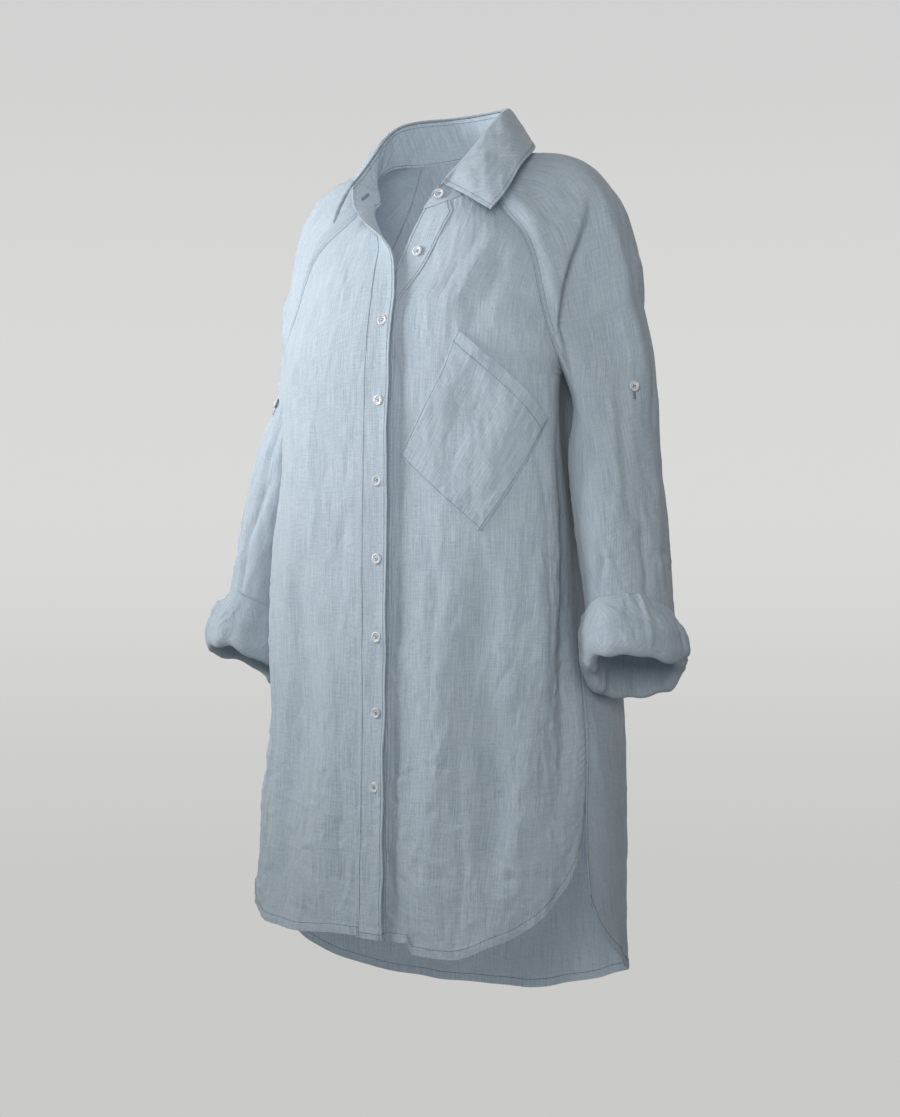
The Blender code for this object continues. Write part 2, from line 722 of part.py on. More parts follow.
def sleeve_grids(side):
    """The sleeve's tube from the armpit to the wrist, and its head from the neck to the armpit."""
    outer = outer_turns()
    turns = tube_turns()
    tube = [tube_ring(share, turns) for share in np.linspace(0.0, 1.0, SLEEVE_ROWS + 1)]
    neck_names = ("left raglan", "left back raglan") if side > 0 else ("right raglan", "right back raglan")
    start_at, end_at = (NECK_PLACES[name] for name in neck_names)
    neck = mirrored(NECK.at(start_at + (end_at - start_at) * outer / math.pi), side)
    neck_shift = neck - sleeve_arc(1.0, outer)
    head = [sleeve_arc(ARMPIT_SHARE, outer)]
    for share in yoke_shares():
        if share > ARMPIT_SHARE:
            head.append(sleeve_arc(share, outer) + smoothstep((share - 0.5) / 0.5) * neck_shift)
    return mirrored(np.array(tube), side), mirrored(np.array(head[::-1]), side)


def cuff_grid(side):
    """The rolled cuff: its wall's closed profile carried round the sleeve's end."""
    turns = tube_turns()
    tilts = SLEEVE.at(1.0)[-2:]
    down_axis = ring_axes(*tilts)[2]
    rows = []
    for down, out in CUFF_PROFILE:
        ring = tube_ring(1.0 + min(down, 0.0) / SLEEVE_END_LENGTH, turns)
        rows.append(ring + unit(ring - ring.mean(axis=0)) * out + down_axis * max(down, 0.0))
    return mirrored(np.array(rows), side)


def round_end(places, rise):
    """How far the stand's round ends reach past its straight ends."""
    from_end = np.minimum(places, NECK.places[-1] - places)
    way = np.where(places < NECK.places[-1] / 2.0, -1.0, 1.0)
    fade = 1.0 - smoothstep(from_end / STAND_END_REACH)
    return way * STAND_END_ROUND * 4.0 * rise * (1.0 - rise) * fade


def stand_point(places, rise):
    """The stand's outer face at places along the neck seam and a rise from the seam to the fold."""
    seam = NECK.at(places)
    ahead = unit(NECK.at(places + 0.002) - NECK.at(places - 0.002))
    line = seam + (FOLD.at(places) - seam) * rise
    return line + ahead * round_end(places, rise)[..., None]


def stand_grid():
    """The collar stand from its fold down to the neck seam."""
    places = np.linspace(0.0, NECK.places[-1], COLLAR_STEPS + 1)
    lowest = STAND_SEAM_GAP / STAND_HEIGHT
    return np.array([stand_point(places, rise) for rise in np.linspace(1.0, lowest, STAND_ROWS + 1)])


def fold_frame(places):
    """The directions out from the neck and up the stand, square to the fold, at places along it."""
    ahead = unit(FOLD.at(places + 0.002) - FOLD.at(places - 0.002))
    rise = FOLD.at(places) - NECK.at(places)
    up = unit(rise - ahead * (rise * ahead).sum(-1, keepdims=True))
    return np.cross(ahead, up), up


def fall_grid(carriers):
    """The collar's fall: over the stand's top, then out and down to its free edge, clear of the body."""
    places = np.linspace(0.0, NECK.places[-1], COLLAR_STEPS + 1)
    out, up = fold_frame(places)
    fold, edge = FOLD.at(places), EDGE.at(places)
    rows = [fold + out * roll_out + up * roll_up for roll_out, roll_up in FALL_ROLL]
    shoulder = rows[-1]
    for step in range(1, FALL_ROWS + 1):
        share = step / FALL_ROWS
        bulge = FALL_BULGE * 4.0 * share * (1.0 - share)
        rows.append(shoulder + (edge - shoulder) * share + (out + up) * bulge)
    grid = np.array(rows)
    grid[len(FALL_ROLL) :] = lifted_off(grid[len(FALL_ROLL) :], carriers, FALL_CLEARANCE)
    return grid


def lifted_off(points, carriers, clearance):
    """Points moved out wherever they come closer than a clearance to the sheets that carry them."""
    base = np.concatenate([grid.reshape(-1, 3) for grid in carriers])
    normals = np.concatenate([outward.reshape(-1, 3) for outward in map(grid_normals, carriers)])
    moved = points.reshape(-1, 3).copy()
    for i, point in enumerate(moved):
        nearest = np.linalg.norm(base - point, axis=-1).argmin()
        height = (point - base[nearest]) @ normals[nearest]
        if height < clearance:
            moved[i] = point + normals[nearest] * (clearance - height)
    return moved.reshape(points.shape)


def stand_spot(place, rise):
    """A point of the stand's outer face and its normal."""
    point = stand_point(place, rise)[0]
    along = stand_point(place + 0.002, rise)[0] - point
    down = stand_point(place, rise - 0.05)[0] - point
    return point, unit(np.cross(down, along))


def front_spot(which, across, z):
    """A point of a front's outer face and its normal."""
    side = FRONTS[which]["side"]
    point = front_surface(which, np.array(across), np.array(z), np.array(0.0))
    return mirrored(point, side), mirrored(body_normal(np.array(across), np.array(z)), side)


def sleeve_spot(which, side):
    """The point of a sleeve's outer face that carries its button, and the normal there."""
    turns = np.radians(SLEEVE_BUTTON_TURN[which] + np.array([0.0, 4.0]))
    here, beside = tube_ring(SLEEVE_BUTTON_SHARE[which], turns)
    below = tube_ring(SLEEVE_BUTTON_SHARE[which] + 0.02, turns)[0]
    return mirrored(here, side), mirrored(unit(np.cross(below - here, beside - here)), side)


def pocket_grid():
    """The patch pocket: points of the left front moved out, standing off a little at its opening."""
    top, foot, outer, inner = (np.array(row[1:]) for row in POCKET_CORNERS)
    steps = np.linspace(0.0, 1.0, POCKET_STEPS + 1)
    along, down = (values[..., None] for values in np.meshgrid(steps, steps))
    opening = top + (foot - top) * along
    bottom = inner + (outer - inner) * along
    across, z = np.moveaxis(opening + (bottom - opening) * down, -1, 0)
    gape = POCKET_GAPE * smoothstep(1.0 - 2.5 * down[..., 0]) * (1.0 - (2.0 * along[..., 0] - 1.0) ** 2)
    return front_surface("left", across, z, np.zeros_like(z), POCKET_LIFT + WALL + gape)


def new_material(name, colour, roughness):
    """A plain material of one colour."""
    material = bpy.data.materials.new(name)
    material.use_nodes = True
    shader = material.node_tree.nodes["Principled BSDF"]
    shader.inputs["Base Color"].default_value = colour
    shader.inputs["Roughness"].default_value = roughness
    shader.inputs["Metallic"].default_value = 0.0
    material.diffuse_color = colour
    return material


def grid_faces(rows, columns, wrap=False, closed=False, first=0):
    """Quads of a grid whose points are numbered row by row, facing out where it runs anticlockwise."""
    faces = []
    for r in range(rows if closed else rows - 1):
        upper, lower = first + r * columns, first + (r + 1) % rows * columns
        for c in range(columns if wrap else columns - 1):
            d = (c + 1) % columns
            faces.append((upper + c, lower + c, lower + d, upper + d))
    return faces


class Shirt:
    """Collects the shirt's pieces in one collection."""

    def __init__(self):
        for old in list(bpy.data.objects):
            bpy.data.objects.remove(old)
        self.collection = bpy.data.collections.new("linen_shirt")
        self.cutters = bpy.data.collections.new("cutters")
        for collection in (self.collection, self.cutters):
            bpy.context.scene.collection.children.link(collection)
        self.cutters.hide_render = True

    def add(self, name, points, faces, colour=LINEN, roughness=0.85):
        mesh = bpy.data.meshes.new(name)
        mesh.from_pydata([tuple(p) for p in points], [], faces)
        mesh.materials.append(new_material(name, colour, roughness))
        mesh.shade_smooth()
        piece = bpy.data.objects.new(name, mesh)
        self.collection.objects.link(piece)
        return piece

    def sheet(self, name, grids, thickness, wraps=(False,), flip=False):
        """A sheet of cloth from one or more grids that share an edge, thickened inwards."""
        points, faces = [], []
        for grid, wrap in zip(grids, wraps):
            faces += grid_faces(grid.shape[0], grid.shape[1], wrap, first=len(points))
            points += list(grid.reshape(-1, 3))
        if flip:
            faces = [face[::-1] for face in faces]
        piece = self.add(name, points, faces)
        weld = piece.modifiers.new("Weld", "WELD")
        weld.merge_threshold = 0.00005
        wall = piece.modifiers.new("Wall", "SOLIDIFY")
        wall.thickness = thickness
        wall.offset = -1.0
        return piece

    def solid_loop(self, name, grid, flip=False):
        """A closed ring of cloth whose profile is itself a closed loop."""
        faces = grid_faces(grid.shape[0], grid.shape[1], wrap=True, closed=True)
        if flip:
            faces = [face[::-1] for face in faces]
        return self.add(name, list(grid.reshape(-1, 3)), faces)

    def button_mesh(self):
        """A four-hole button lying on its back at the origin, facing +Z."""
        profile = bpy.data.meshes.new("button_profile")
        points = [(x * BUTTON_RADIUS, 0.0, z * BUTTON_THICK) for x, z in BUTTON_PROFILE]
        profile.from_pydata(points, [(i, i + 1) for i in range(len(points) - 1)], [])
        blank = bpy.data.objects.new("button_blank", profile)
        self.cutters.objects.link(blank)
        turning = blank.modifiers.new("Turn", "SCREW")
        turning.axis = "Z"
        turning.steps = turning.render_steps = BUTTON_SIDES
        turning.use_merge_vertices = True
        turning.merge_threshold = 0.00005
        holes = self.button_holes()
        cut = blank.modifiers.new("Holes", "BOOLEAN")
        cut.operation = "DIFFERENCE"
        cut.object = holes
        bpy.context.view_layer.update()
        evaluated = blank.evaluated_get(bpy.context.evaluated_depsgraph_get())
        mesh = bpy.data.meshes.new_from_object(evaluated)
        mesh.name = "shirt_button"
        bpy.data.objects.remove(blank)
        bpy.data.objects.remove(holes)
        mesh.materials.clear()
        mesh.materials.append(new_material("pearl_button", PEARL, 0.3))
        return mesh

    def button_holes(self):
        """The four pins that cut a button's holes."""
        mesh = bpy.data.meshes.new("button_holes")
        pins = bmesh.new()
        for corner in range(4):
            angle = math.radians(45.0 + 90.0 * corner)
            hole_x = BUTTON_HOLE_SPREAD * math.cos(angle)
            hole_y = BUTTON_HOLE_SPREAD * math.sin(angle)
            place = Matrix.Translation((hole_x, hole_y, BUTTON_THICK / 2.0))
            bmesh.ops.create_cone(
                pins,
                cap_ends=True,
                segments=6,
                radius1=BUTTON_HOLE_RADIUS,
                radius2=BUTTON_HOLE_RADIUS,
                depth=BUTTON_THICK * 3.0,
                matrix=place,
            )
        pins.to_mesh(mesh)
        pins.free()
        holes = bpy.data.objects.new("button_holes", mesh)
        self.cutters.objects.link(holes)
        holes.hide_render = True
        holes.display_type = "WIRE"
        return holes

    def sew_button(self, name, mesh, point, normal, lift=BUTTON_LIFT):
        """Lays a button on a piece at a point, facing along the piece's normal."""
        button = bpy.data.objects.new(name, mesh)
        self.collection.objects.link(button)
        facing = Vector(normal).to_track_quat("Z", "Y")
        button.rotation_euler = facing.to_euler()
        button.location = Vector(point) + Vector(normal).normalized() * lift
        return button


def main():
    """Builds every piece of the shirt."""
    shirt = Shirt()
    fronts = {}
    for which in ("left", "right"):
        fronts[which] = front_panel(which)
        shirt.sheet("front_" + which, [fronts[which]], WALL)
        shirt.sheet("placket_" + which, [band_panel(which)], DOUBLE_WALL)
    back = back_panel()
    shirt.sheet("back", [back], WALL)
    carriers = [fronts["left"], fronts["right"], back]
    for which, side in (("left", 1.0), ("right", -1.0)):
        tube, head = sleeve_grids(side)
        shirt.sheet("sleeve_" + which, [tube, head], WALL, (True, False), flip=side < 0)
        shirt.solid_loop("cuff_" + which, cuff_grid(side), flip=side < 0)
        carriers.append(head if side > 0 else head[:, ::-1])
    shirt.sheet("collar_stand", [stand_grid()], DOUBLE_WALL)
    shirt.sheet("collar_fall", [fall_grid(carriers)], DOUBLE_WALL)
    shirt.sheet("pocket", [pocket_grid()], WALL)

    mesh = shirt.button_mesh()
    point, normal = stand_spot(np.array([STAND_BUTTON_PLACE]), STAND_BUTTON_RISE)
    shirt.sew_button("button_1", mesh, point, normal, CURVE_BUTTON_LIFT)
    point, normal = front_spot("left", OPEN_BUTTON_ACROSS, OPEN_BUTTON_HEIGHT)
    shirt.sew_button("button_2", mesh, point, normal)
    for number, height in enumerate(FRONT_BUTTON_HEIGHTS, start=3):
        point, normal = front_spot("right", FRONT_BUTTON_ACROSS, height)
        shirt.sew_button("button_%d" % number, mesh, point, normal)
    for which, side in (("left", 1.0), ("right", -1.0)):
        point, normal = sleeve_spot(which, side)
        shirt.sew_button("sleeve_button_" + which, mesh, point, normal, CURVE_BUTTON_LIFT)


main()
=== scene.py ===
"""Looks of a long linen shirt: creased cloth shells on its solids, sewing, buttons, light and stage.

The frame is in metres with +Z up. The shirt faces -Y and the wearer's left is at +X. Every sheet is
worked out from the shirt's own sizes, given folds and small creases, and closed into a thin shell.
"""

import logging
import math
from dataclasses import dataclass, field, replace
from enum import Enum

import bpy
import numpy as np
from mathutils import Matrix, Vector


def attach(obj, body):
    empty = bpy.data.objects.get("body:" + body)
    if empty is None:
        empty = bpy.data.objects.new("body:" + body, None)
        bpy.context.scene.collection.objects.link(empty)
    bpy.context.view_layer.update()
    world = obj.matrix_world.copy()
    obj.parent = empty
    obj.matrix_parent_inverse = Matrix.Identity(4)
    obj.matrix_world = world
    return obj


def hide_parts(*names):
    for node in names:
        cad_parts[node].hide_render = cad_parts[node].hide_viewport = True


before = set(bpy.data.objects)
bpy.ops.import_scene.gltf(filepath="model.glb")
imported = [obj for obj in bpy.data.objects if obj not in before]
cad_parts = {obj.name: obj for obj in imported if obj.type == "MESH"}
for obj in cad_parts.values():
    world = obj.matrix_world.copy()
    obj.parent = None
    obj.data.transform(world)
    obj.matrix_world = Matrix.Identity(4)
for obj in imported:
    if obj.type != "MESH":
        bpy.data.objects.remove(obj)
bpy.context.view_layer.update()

LOG = logging.getLogger("linen_shirt")
Array = np.ndarray
Object = bpy.types.Object
Material = bpy.types.Material
NodeTree = bpy.types.NodeTree
NodeSocket = bpy.types.NodeSocket

# Sizes of the cloth in metres, the angle of a sharp edge in degrees and the span of random phases
BAND_WIDTH = 0.032
LAP_DEPTH = 0.0052
POCKET_LIFT = 0.0025
SHELL = 0.0008
DOUBLE_SHELL = 0.0014
HEM_TURN = 0.010
SEAM_SINK = 0.0006
SEAM_REACH = 0.0014
WELD_GAP = 0.00005
SHARP_ANGLE = 70.0
ABOUT_A_TURN = 6.28

# How far each stitch line lies in from its edge, and how far it stands off the cloth
HEM_STITCH = 0.009
SEAM_STITCH = 0.0030
BAND_INNER_STITCH = 0.0032
BAND_FOOT_STITCH = 0.006
SLEEVE_STITCH = 0.0035
FALL_STITCH = 0.0045
FOLD_STITCH = 0.004
POCKET_STITCH = 0.0025
POCKET_HEM_STITCH = 0.0130
STITCH_LIFT = 0.0002

# Heights of the body
ARMPIT_Z = -0.240
HEM_START_Z = -0.600
SLIT_TOP_Z = -0.690
BAND_END_Z = -0.825

# Buttons. Those of the front are placed by the distance across and the height, that of the stand
# and its buttonhole by the distance along the neck seam from the nearer end and the share of the
# way up, those of the sleeves by the share of the way down and the degrees round.
BUTTON_RADIUS = 0.00575
BUTTON_THICK = 0.0026
FRONT_BUTTON_ACROSS = -0.0035
FRONT_BUTTON_HEIGHTS = (-0.181, -0.265, -0.349, -0.4305, -0.512, -0.591, -0.668)
OPEN_BUTTON = (0.0257, -0.106)
STAND_BUTTON = (0.0118, 0.41)
STAND_HOLE = (0.013, 0.45)
SLEEVE_BUTTON = {"left": (0.170, 65.0), "right": (0.165, 38.0)}
BUTTON_PITCH = 0.0815

# How far the buttons stand off the cloth, half the lengths of the buttonholes, and how far a
# sleeve's buttonhole lies below its button
FRONT_BUTTON_LIFT = 0.0004
STAND_BUTTON_LIFT = 0.0009
SLEEVE_BUTTON_LIFT = 0.0006
FRONT_HOLE_HALF = 0.0066
STAND_HOLE_HALF = 0.0065
SLEEVE_HOLE_HALF = 0.0050
SLEEVE_HOLE_DROP = 0.0085

# The body's level sections: the front, its corner, the side seam, the back's corner and the back.
# Columns: z, front y, corner x, corner y, side x, side y, blade x, blade y, back y.
BODY_SECTIONS = (
    (0.020, 0.000, 0.060, 0.005, 0.076, 0.025, 0.060, 0.054, 0.070),
    (-0.022, -0.040, 0.083, -0.036, 0.110, 0.000, 0.100, 0.070, 0.090),
    (-0.059, -0.088, 0.100, -0.056, 0.140, 0.005, 0.130, 0.085, 0.100),
    (-0.092, -0.101, 0.133, -0.063, 0.165, 0.005, 0.147, 0.090, 0.106),
    (-0.150, -0.126, 0.155, -0.067, 0.180, 0.002, 0.164, 0.086, 0.108),
    (-0.200, -0.137, 0.168, -0.068, 0.172, -0.002, 0.168, 0.075, 0.105),
    (-0.240, -0.140, 0.170, -0.064, 0.152, 0.002, 0.157, 0.070, 0.101),
    (-0.300, -0.142, 0.170, -0.062, 0.148, -0.002, 0.151, 0.068, 0.099),
    (-0.430, -0.144, 0.180, -0.062, 0.166, -0.014, 0.160, 0.068, 0.100),
    (-0.520, -0.145, 0.182, -0.066, 0.178, -0.028, 0.167, 0.067, 0.101),
    (-0.600, -0.146, 0.184, -0.074, 0.196, -0.044, 0.178, 0.062, 0.102),
    (-0.690, -0.149, 0.185, -0.090, 0.203, -0.056, 0.182, 0.058, 0.103),
    (-0.840, -0.154, 0.192, -0.099, 0.210, -0.054, 0.190, 0.052, 0.105),
    (-0.930, -0.157, 0.195, -0.101, 0.213, -0.052, 0.194, 0.050, 0.107),
)

# The raglan seams on the wearer's left, from the underarm to the neck, and the sleeve's top line.
# Columns: share, x, y, z.
FRONT_RAGLAN = (
    (0.00, 0.1535, 0.000, -0.240),
    (0.08, 0.163, -0.034, -0.236),
    (0.17, 0.172, -0.059, -0.222),
    (0.27, 0.1685, -0.069, -0.196),
    (0.45, 0.1550, -0.067, -0.150),
    (0.66, 0.1330, -0.063, -0.092),
    (0.83, 0.1010, -0.057, -0.059),
    (1.00, 0.083, -0.038, -0.024),
)
BACK_RAGLAN = (
    (0.00, 0.1535, 0.000, -0.240),
    (0.08, 0.160, 0.034, -0.236),
    (0.17, 0.168, 0.060, -0.218),
    (0.27, 0.171, 0.074, -0.190),
    (0.45, 0.165, 0.086, -0.140),
    (0.66, 0.143, 0.090, -0.080),
    (0.83, 0.105, 0.076, -0.030),
    (1.00, 0.068, 0.046, 0.013),
)
SHOULDER_LINE = (
    (0.00, 0.2265, 0.012, -0.205),
    (0.27, 0.2240, 0.012, -0.160),
    (0.45, 0.2180, 0.010, -0.112),
    (0.66, 0.2010, 0.006, -0.054),
    (0.83, 0.1640, 0.003, -0.0125),
    (0.92, 0.1280, 0.001, 0.0005),
    (1.00, 0.0850, 0.000, 0.004),
)

# The neck seam from the left front's end round the back to the right front's end, then the fold at
# the top of the collar and the free edge of its fall over the same eleven places.
# Columns: place, seam, fold, free edge.
NECK_TABLE = (
    ("left end", (0.022, -0.086, -0.063), (0.043, -0.079, -0.034), (0.1145, -0.1000, -0.0690)),
    ("left front", (0.060, -0.077, -0.050), (0.060, -0.052, 0.000), (0.1200, -0.0800, -0.0500)),
    ("left raglan", (0.083, -0.038, -0.024), (0.066, -0.020, 0.032), (0.1190, -0.0450, -0.0160)),
    ("left side", (0.085, 0.000, 0.004), (0.065, 0.005, 0.050), (0.1080, 0.0000, 0.0080)),
    ("left back raglan", (0.068, 0.046, 0.013), (0.047, 0.042, 0.0615), (0.0660, 0.0530, 0.0240)),
    ("back", (0.000, 0.070, 0.020), (0.000, 0.058, 0.0625), (0.0000, 0.0920, 0.0220)),
    ("right back raglan", (-0.068, 0.046, 0.013), (-0.047, 0.042, 0.059), (-0.0780, 0.0640, 0.0270)),
    ("right side", (-0.085, 0.000, 0.002), (-0.070, 0.008, 0.049), (-0.1060, 0.0020, 0.0060)),
    ("right raglan", (-0.078, -0.032, -0.026), (-0.076, -0.022, 0.026), (-0.1040, -0.0380, -0.0170)),
    ("right roll", (-0.052, -0.061, -0.046), (-0.074, -0.055, -0.006), (-0.0960, -0.0660, -0.0400)),
    ("right end", (-0.056, -0.087, -0.064), (-0.071, -0.085, -0.028), (-0.0900, -0.0930, -0.0680)),
)

# How far each front edge lies past the centre front, to the wearer's other side.
# Columns: z, left edge, right edge.
FRONT_EDGES = (
    (-0.060, 0.021, 0.052),
    (-0.072, 0.018, 0.036),
    (-0.090, 0.012, 0.011),
    (-0.107, 0.007, -0.003),
    (-0.125, 0.001, -0.009),
    (-0.142, -0.007, -0.0125),
    (-0.161, -0.016, -0.015),
    (-0.600, -0.016, -0.015),
    (-0.900, -0.016, -0.019),
)

# Lower edges, by the share of the way from a front's edge to its side, and across the back from its
# right side (-1) to its left (1).
# Columns: share, z.
LEFT_HEM = (
    (0.000, -0.8255),
    (0.226, -0.8262),
    (0.233, -0.8375),
    (0.40, -0.8385),
    (0.47, -0.8340),
    (0.55, -0.8240),
    (0.64, -0.8150),
    (0.76, -0.7960),
    (0.86, -0.7720),
    (0.93, -0.7450),
    (0.98, -0.7140),
    (1.00, -0.6900),
)
RIGHT_HEM = (
    (0.00, -0.8250),
    (0.20, -0.8225),
    (0.42, -0.8255),
    (0.60, -0.8225),
    (0.70, -0.8205),
    (0.79, -0.8080),
    (0.87, -0.7760),
    (0.94, -0.7430),
    (0.98, -0.7140),
    (1.00, -0.6900),
)
BACK_HEM = (
    (-1.00, -0.7850),
    (-0.96, -0.8150),
    (-0.88, -0.8380),
    (-0.75, -0.8720),
    (-0.60, -0.8950),
    (-0.39, -0.9090),
    (-0.20, -0.9140),
    (0.10, -0.9120),
    (0.18, -0.9090),
    (0.28, -0.9000),
    (0.40, -0.8910),
    (0.52, -0.8790),
    (0.72, -0.8600),
    (0.88, -0.8380),
    (0.96, -0.8150),
    (1.00, -0.7850),
)

# Level rings of the sleeve under the arm: centre, half depth, reaches and tilts in degrees.
# Columns: share, x, y, z, half depth, reach out, reach in, tilt front, tilt side.
SLEEVE_RINGS = (
    (0.00, 0.178, -0.004, -0.205, 0.080, 0.048, 0.030, 0.0, 2.0),
    (0.12, 0.190, 0.010, -0.255, 0.070, 0.046, 0.034, 2.0, 5.0),
    (0.30, 0.199, 0.009, -0.315, 0.066, 0.046, 0.040, 4.0, 8.0),
    (0.55, 0.212, -0.002, -0.390, 0.067, 0.046, 0.041, 9.0, 10.0),
    (0.80, 0.2265, -0.012, -0.465, 0.062, 0.045, 0.041, 15.0, 11.5),
    (1.00, 0.2400, -0.023, -0.526, 0.058, 0.044, 0.041, 19.0, 12.0),
)
SLEEVE_LENGTH = 0.32
ARM_RADIUS = 0.056
HEAD_LENGTH = 0.24
EASE_SHARE = 0.32
ARMPIT_SHARE = 0.27
HEAD_HOLLOW = 0.018

# The pocket's corners, by distance across from the centre front and height.
# Columns: corner, across, z.
POCKET_CORNERS = (
    ("opening top", 0.0828, -0.1948),
    ("opening foot", 0.1670, -0.2885),
    ("bottom outer", 0.0993, -0.4024),
    ("bottom inner", 0.0245, -0.3230),
)

STAND_HEIGHT = 0.040
STAND_END_ROUND = 0.006
STAND_END_REACH = 0.016
FALL_ROLL = ((-0.0022, 0.0024), (0.0006, 0.0030), (0.0034, 0.0014))
FALL_CLEARANCE = 0.0040


def unit(vectors: Array) -> Array:
    """Vectors of length one."""
    return vectors / np.maximum(np.linalg.norm(vectors, axis=-1, keepdims=True), 1e-12)


def smoothstep(value: Array) -> Array:
    """0 to 1 with a soft start and end."""
    value = np.clip(value, 0.0, 1.0)
    return value * value * (3.0 - 2.0 * value)


def bend_rates(places: Array, values: Array) -> Array:
    """Slopes of a smooth curve through values at increasing places, with free ends.

    Args:
        places: Places in rising order.
        values: A row of values for each place.

    Returns:
        A row of slopes for each place.
    """
    count = len(places)
    steps = np.diff(places)
    matrix = np.zeros((count, count))
    right = np.zeros((count,) + values.shape[1:])
    matrix[0, :2] = (2.0, 1.0)
    matrix[-1, -2:] = (1.0, 2.0)
    right[0] = 3.0 * (values[1] - values[0]) / steps[0]
    right[-1] = 3.0 * (values[-1] - values[-2]) / steps[-1]
    for i in range(1, count - 1):
        before, after = 1.0 / steps[i - 1], 1.0 / steps[i]
        matrix[i, i - 1 : i + 2] = (before, 2.0 * (before + after), after)
        first = (values[i] - values[i - 1]) * before**2
        right[i] = 3.0 * (first + (values[i + 1] - values[i]) * after**2)
    return np.linalg.solve(matrix, right)


def steady_rates(places: Array, values: Array) -> Array:
    """Slopes of a smooth curve that never swings past the values it runs through.

    Args:
        places: Places in rising order.
        values: A row of values for each place.

    Returns:
        A row of slopes for each place.
    """
    rates = np.diff(values, axis=0) / np.diff(places)[:, None]
    same_way = rates[:-1] * rates[1:] > 0
    total = np.where(same_way, rates[:-1] + rates[1:], 1.0)
    middle = np.where(same_way, 2.0 * rates[:-1] * rates[1:] / total, 0.0)
    return np.concatenate([rates[:1], middle, rates[-1:]])


def hermite(t: Array, low: Array, rise: Array, start: Array, end: Array) -> Array:
    """The cubic from low to low + rise whose slopes at its ends are start and end."""
    return low + t * start + t**2 * (3 * rise - 2 * start - end) + t**3 * (start + end - 2 * rise)


class Curve:
    """A smooth curve through rows of values, read at any place."""

    def __init__(self, places: list | Array, values: list | Array, steady: bool = False) -> None:
        """Lays the curve.

        Args:
            places: Places in rising order.
            values: A row of values for each place.
            steady: True for a curve that never swings past its values.
        """
        self.places = np.asarray(places, float)
        self.values = np.asarray(values, float)
        self.slopes = (steady_rates if steady else bend_rates)(self.places, self.values)

    @classmethod
    def of_table(cls, rows: tuple, steady: bool = False) -> "Curve":
        """A curve over a table's first column, giving its other columns."""
        ordered = sorted(rows)
        return cls([row[0] for row in ordered], [row[1:] for row in ordered], steady)

    def at(self, place: Array) -> Array:
        """The values at one place or at an array of places.

        Args:
            place: The place or places.

        Returns:
            A row of values for each of them.
        """
        place = np.clip(np.asarray(place, float), self.places[0], self.places[-1])
        i = np.clip(np.searchsorted(self.places, place, side="right") - 1, 0, len(self.places) - 2)
        step = self.places[i + 1] - self.places[i]
        t = ((place - self.places[i]) / step)[..., None]
        step = step[..., None]
        low = self.values[i]
        rise = self.values[i + 1] - low
        return hermite(t, low, rise, self.slopes[i] * step, self.slopes[i + 1] * step)


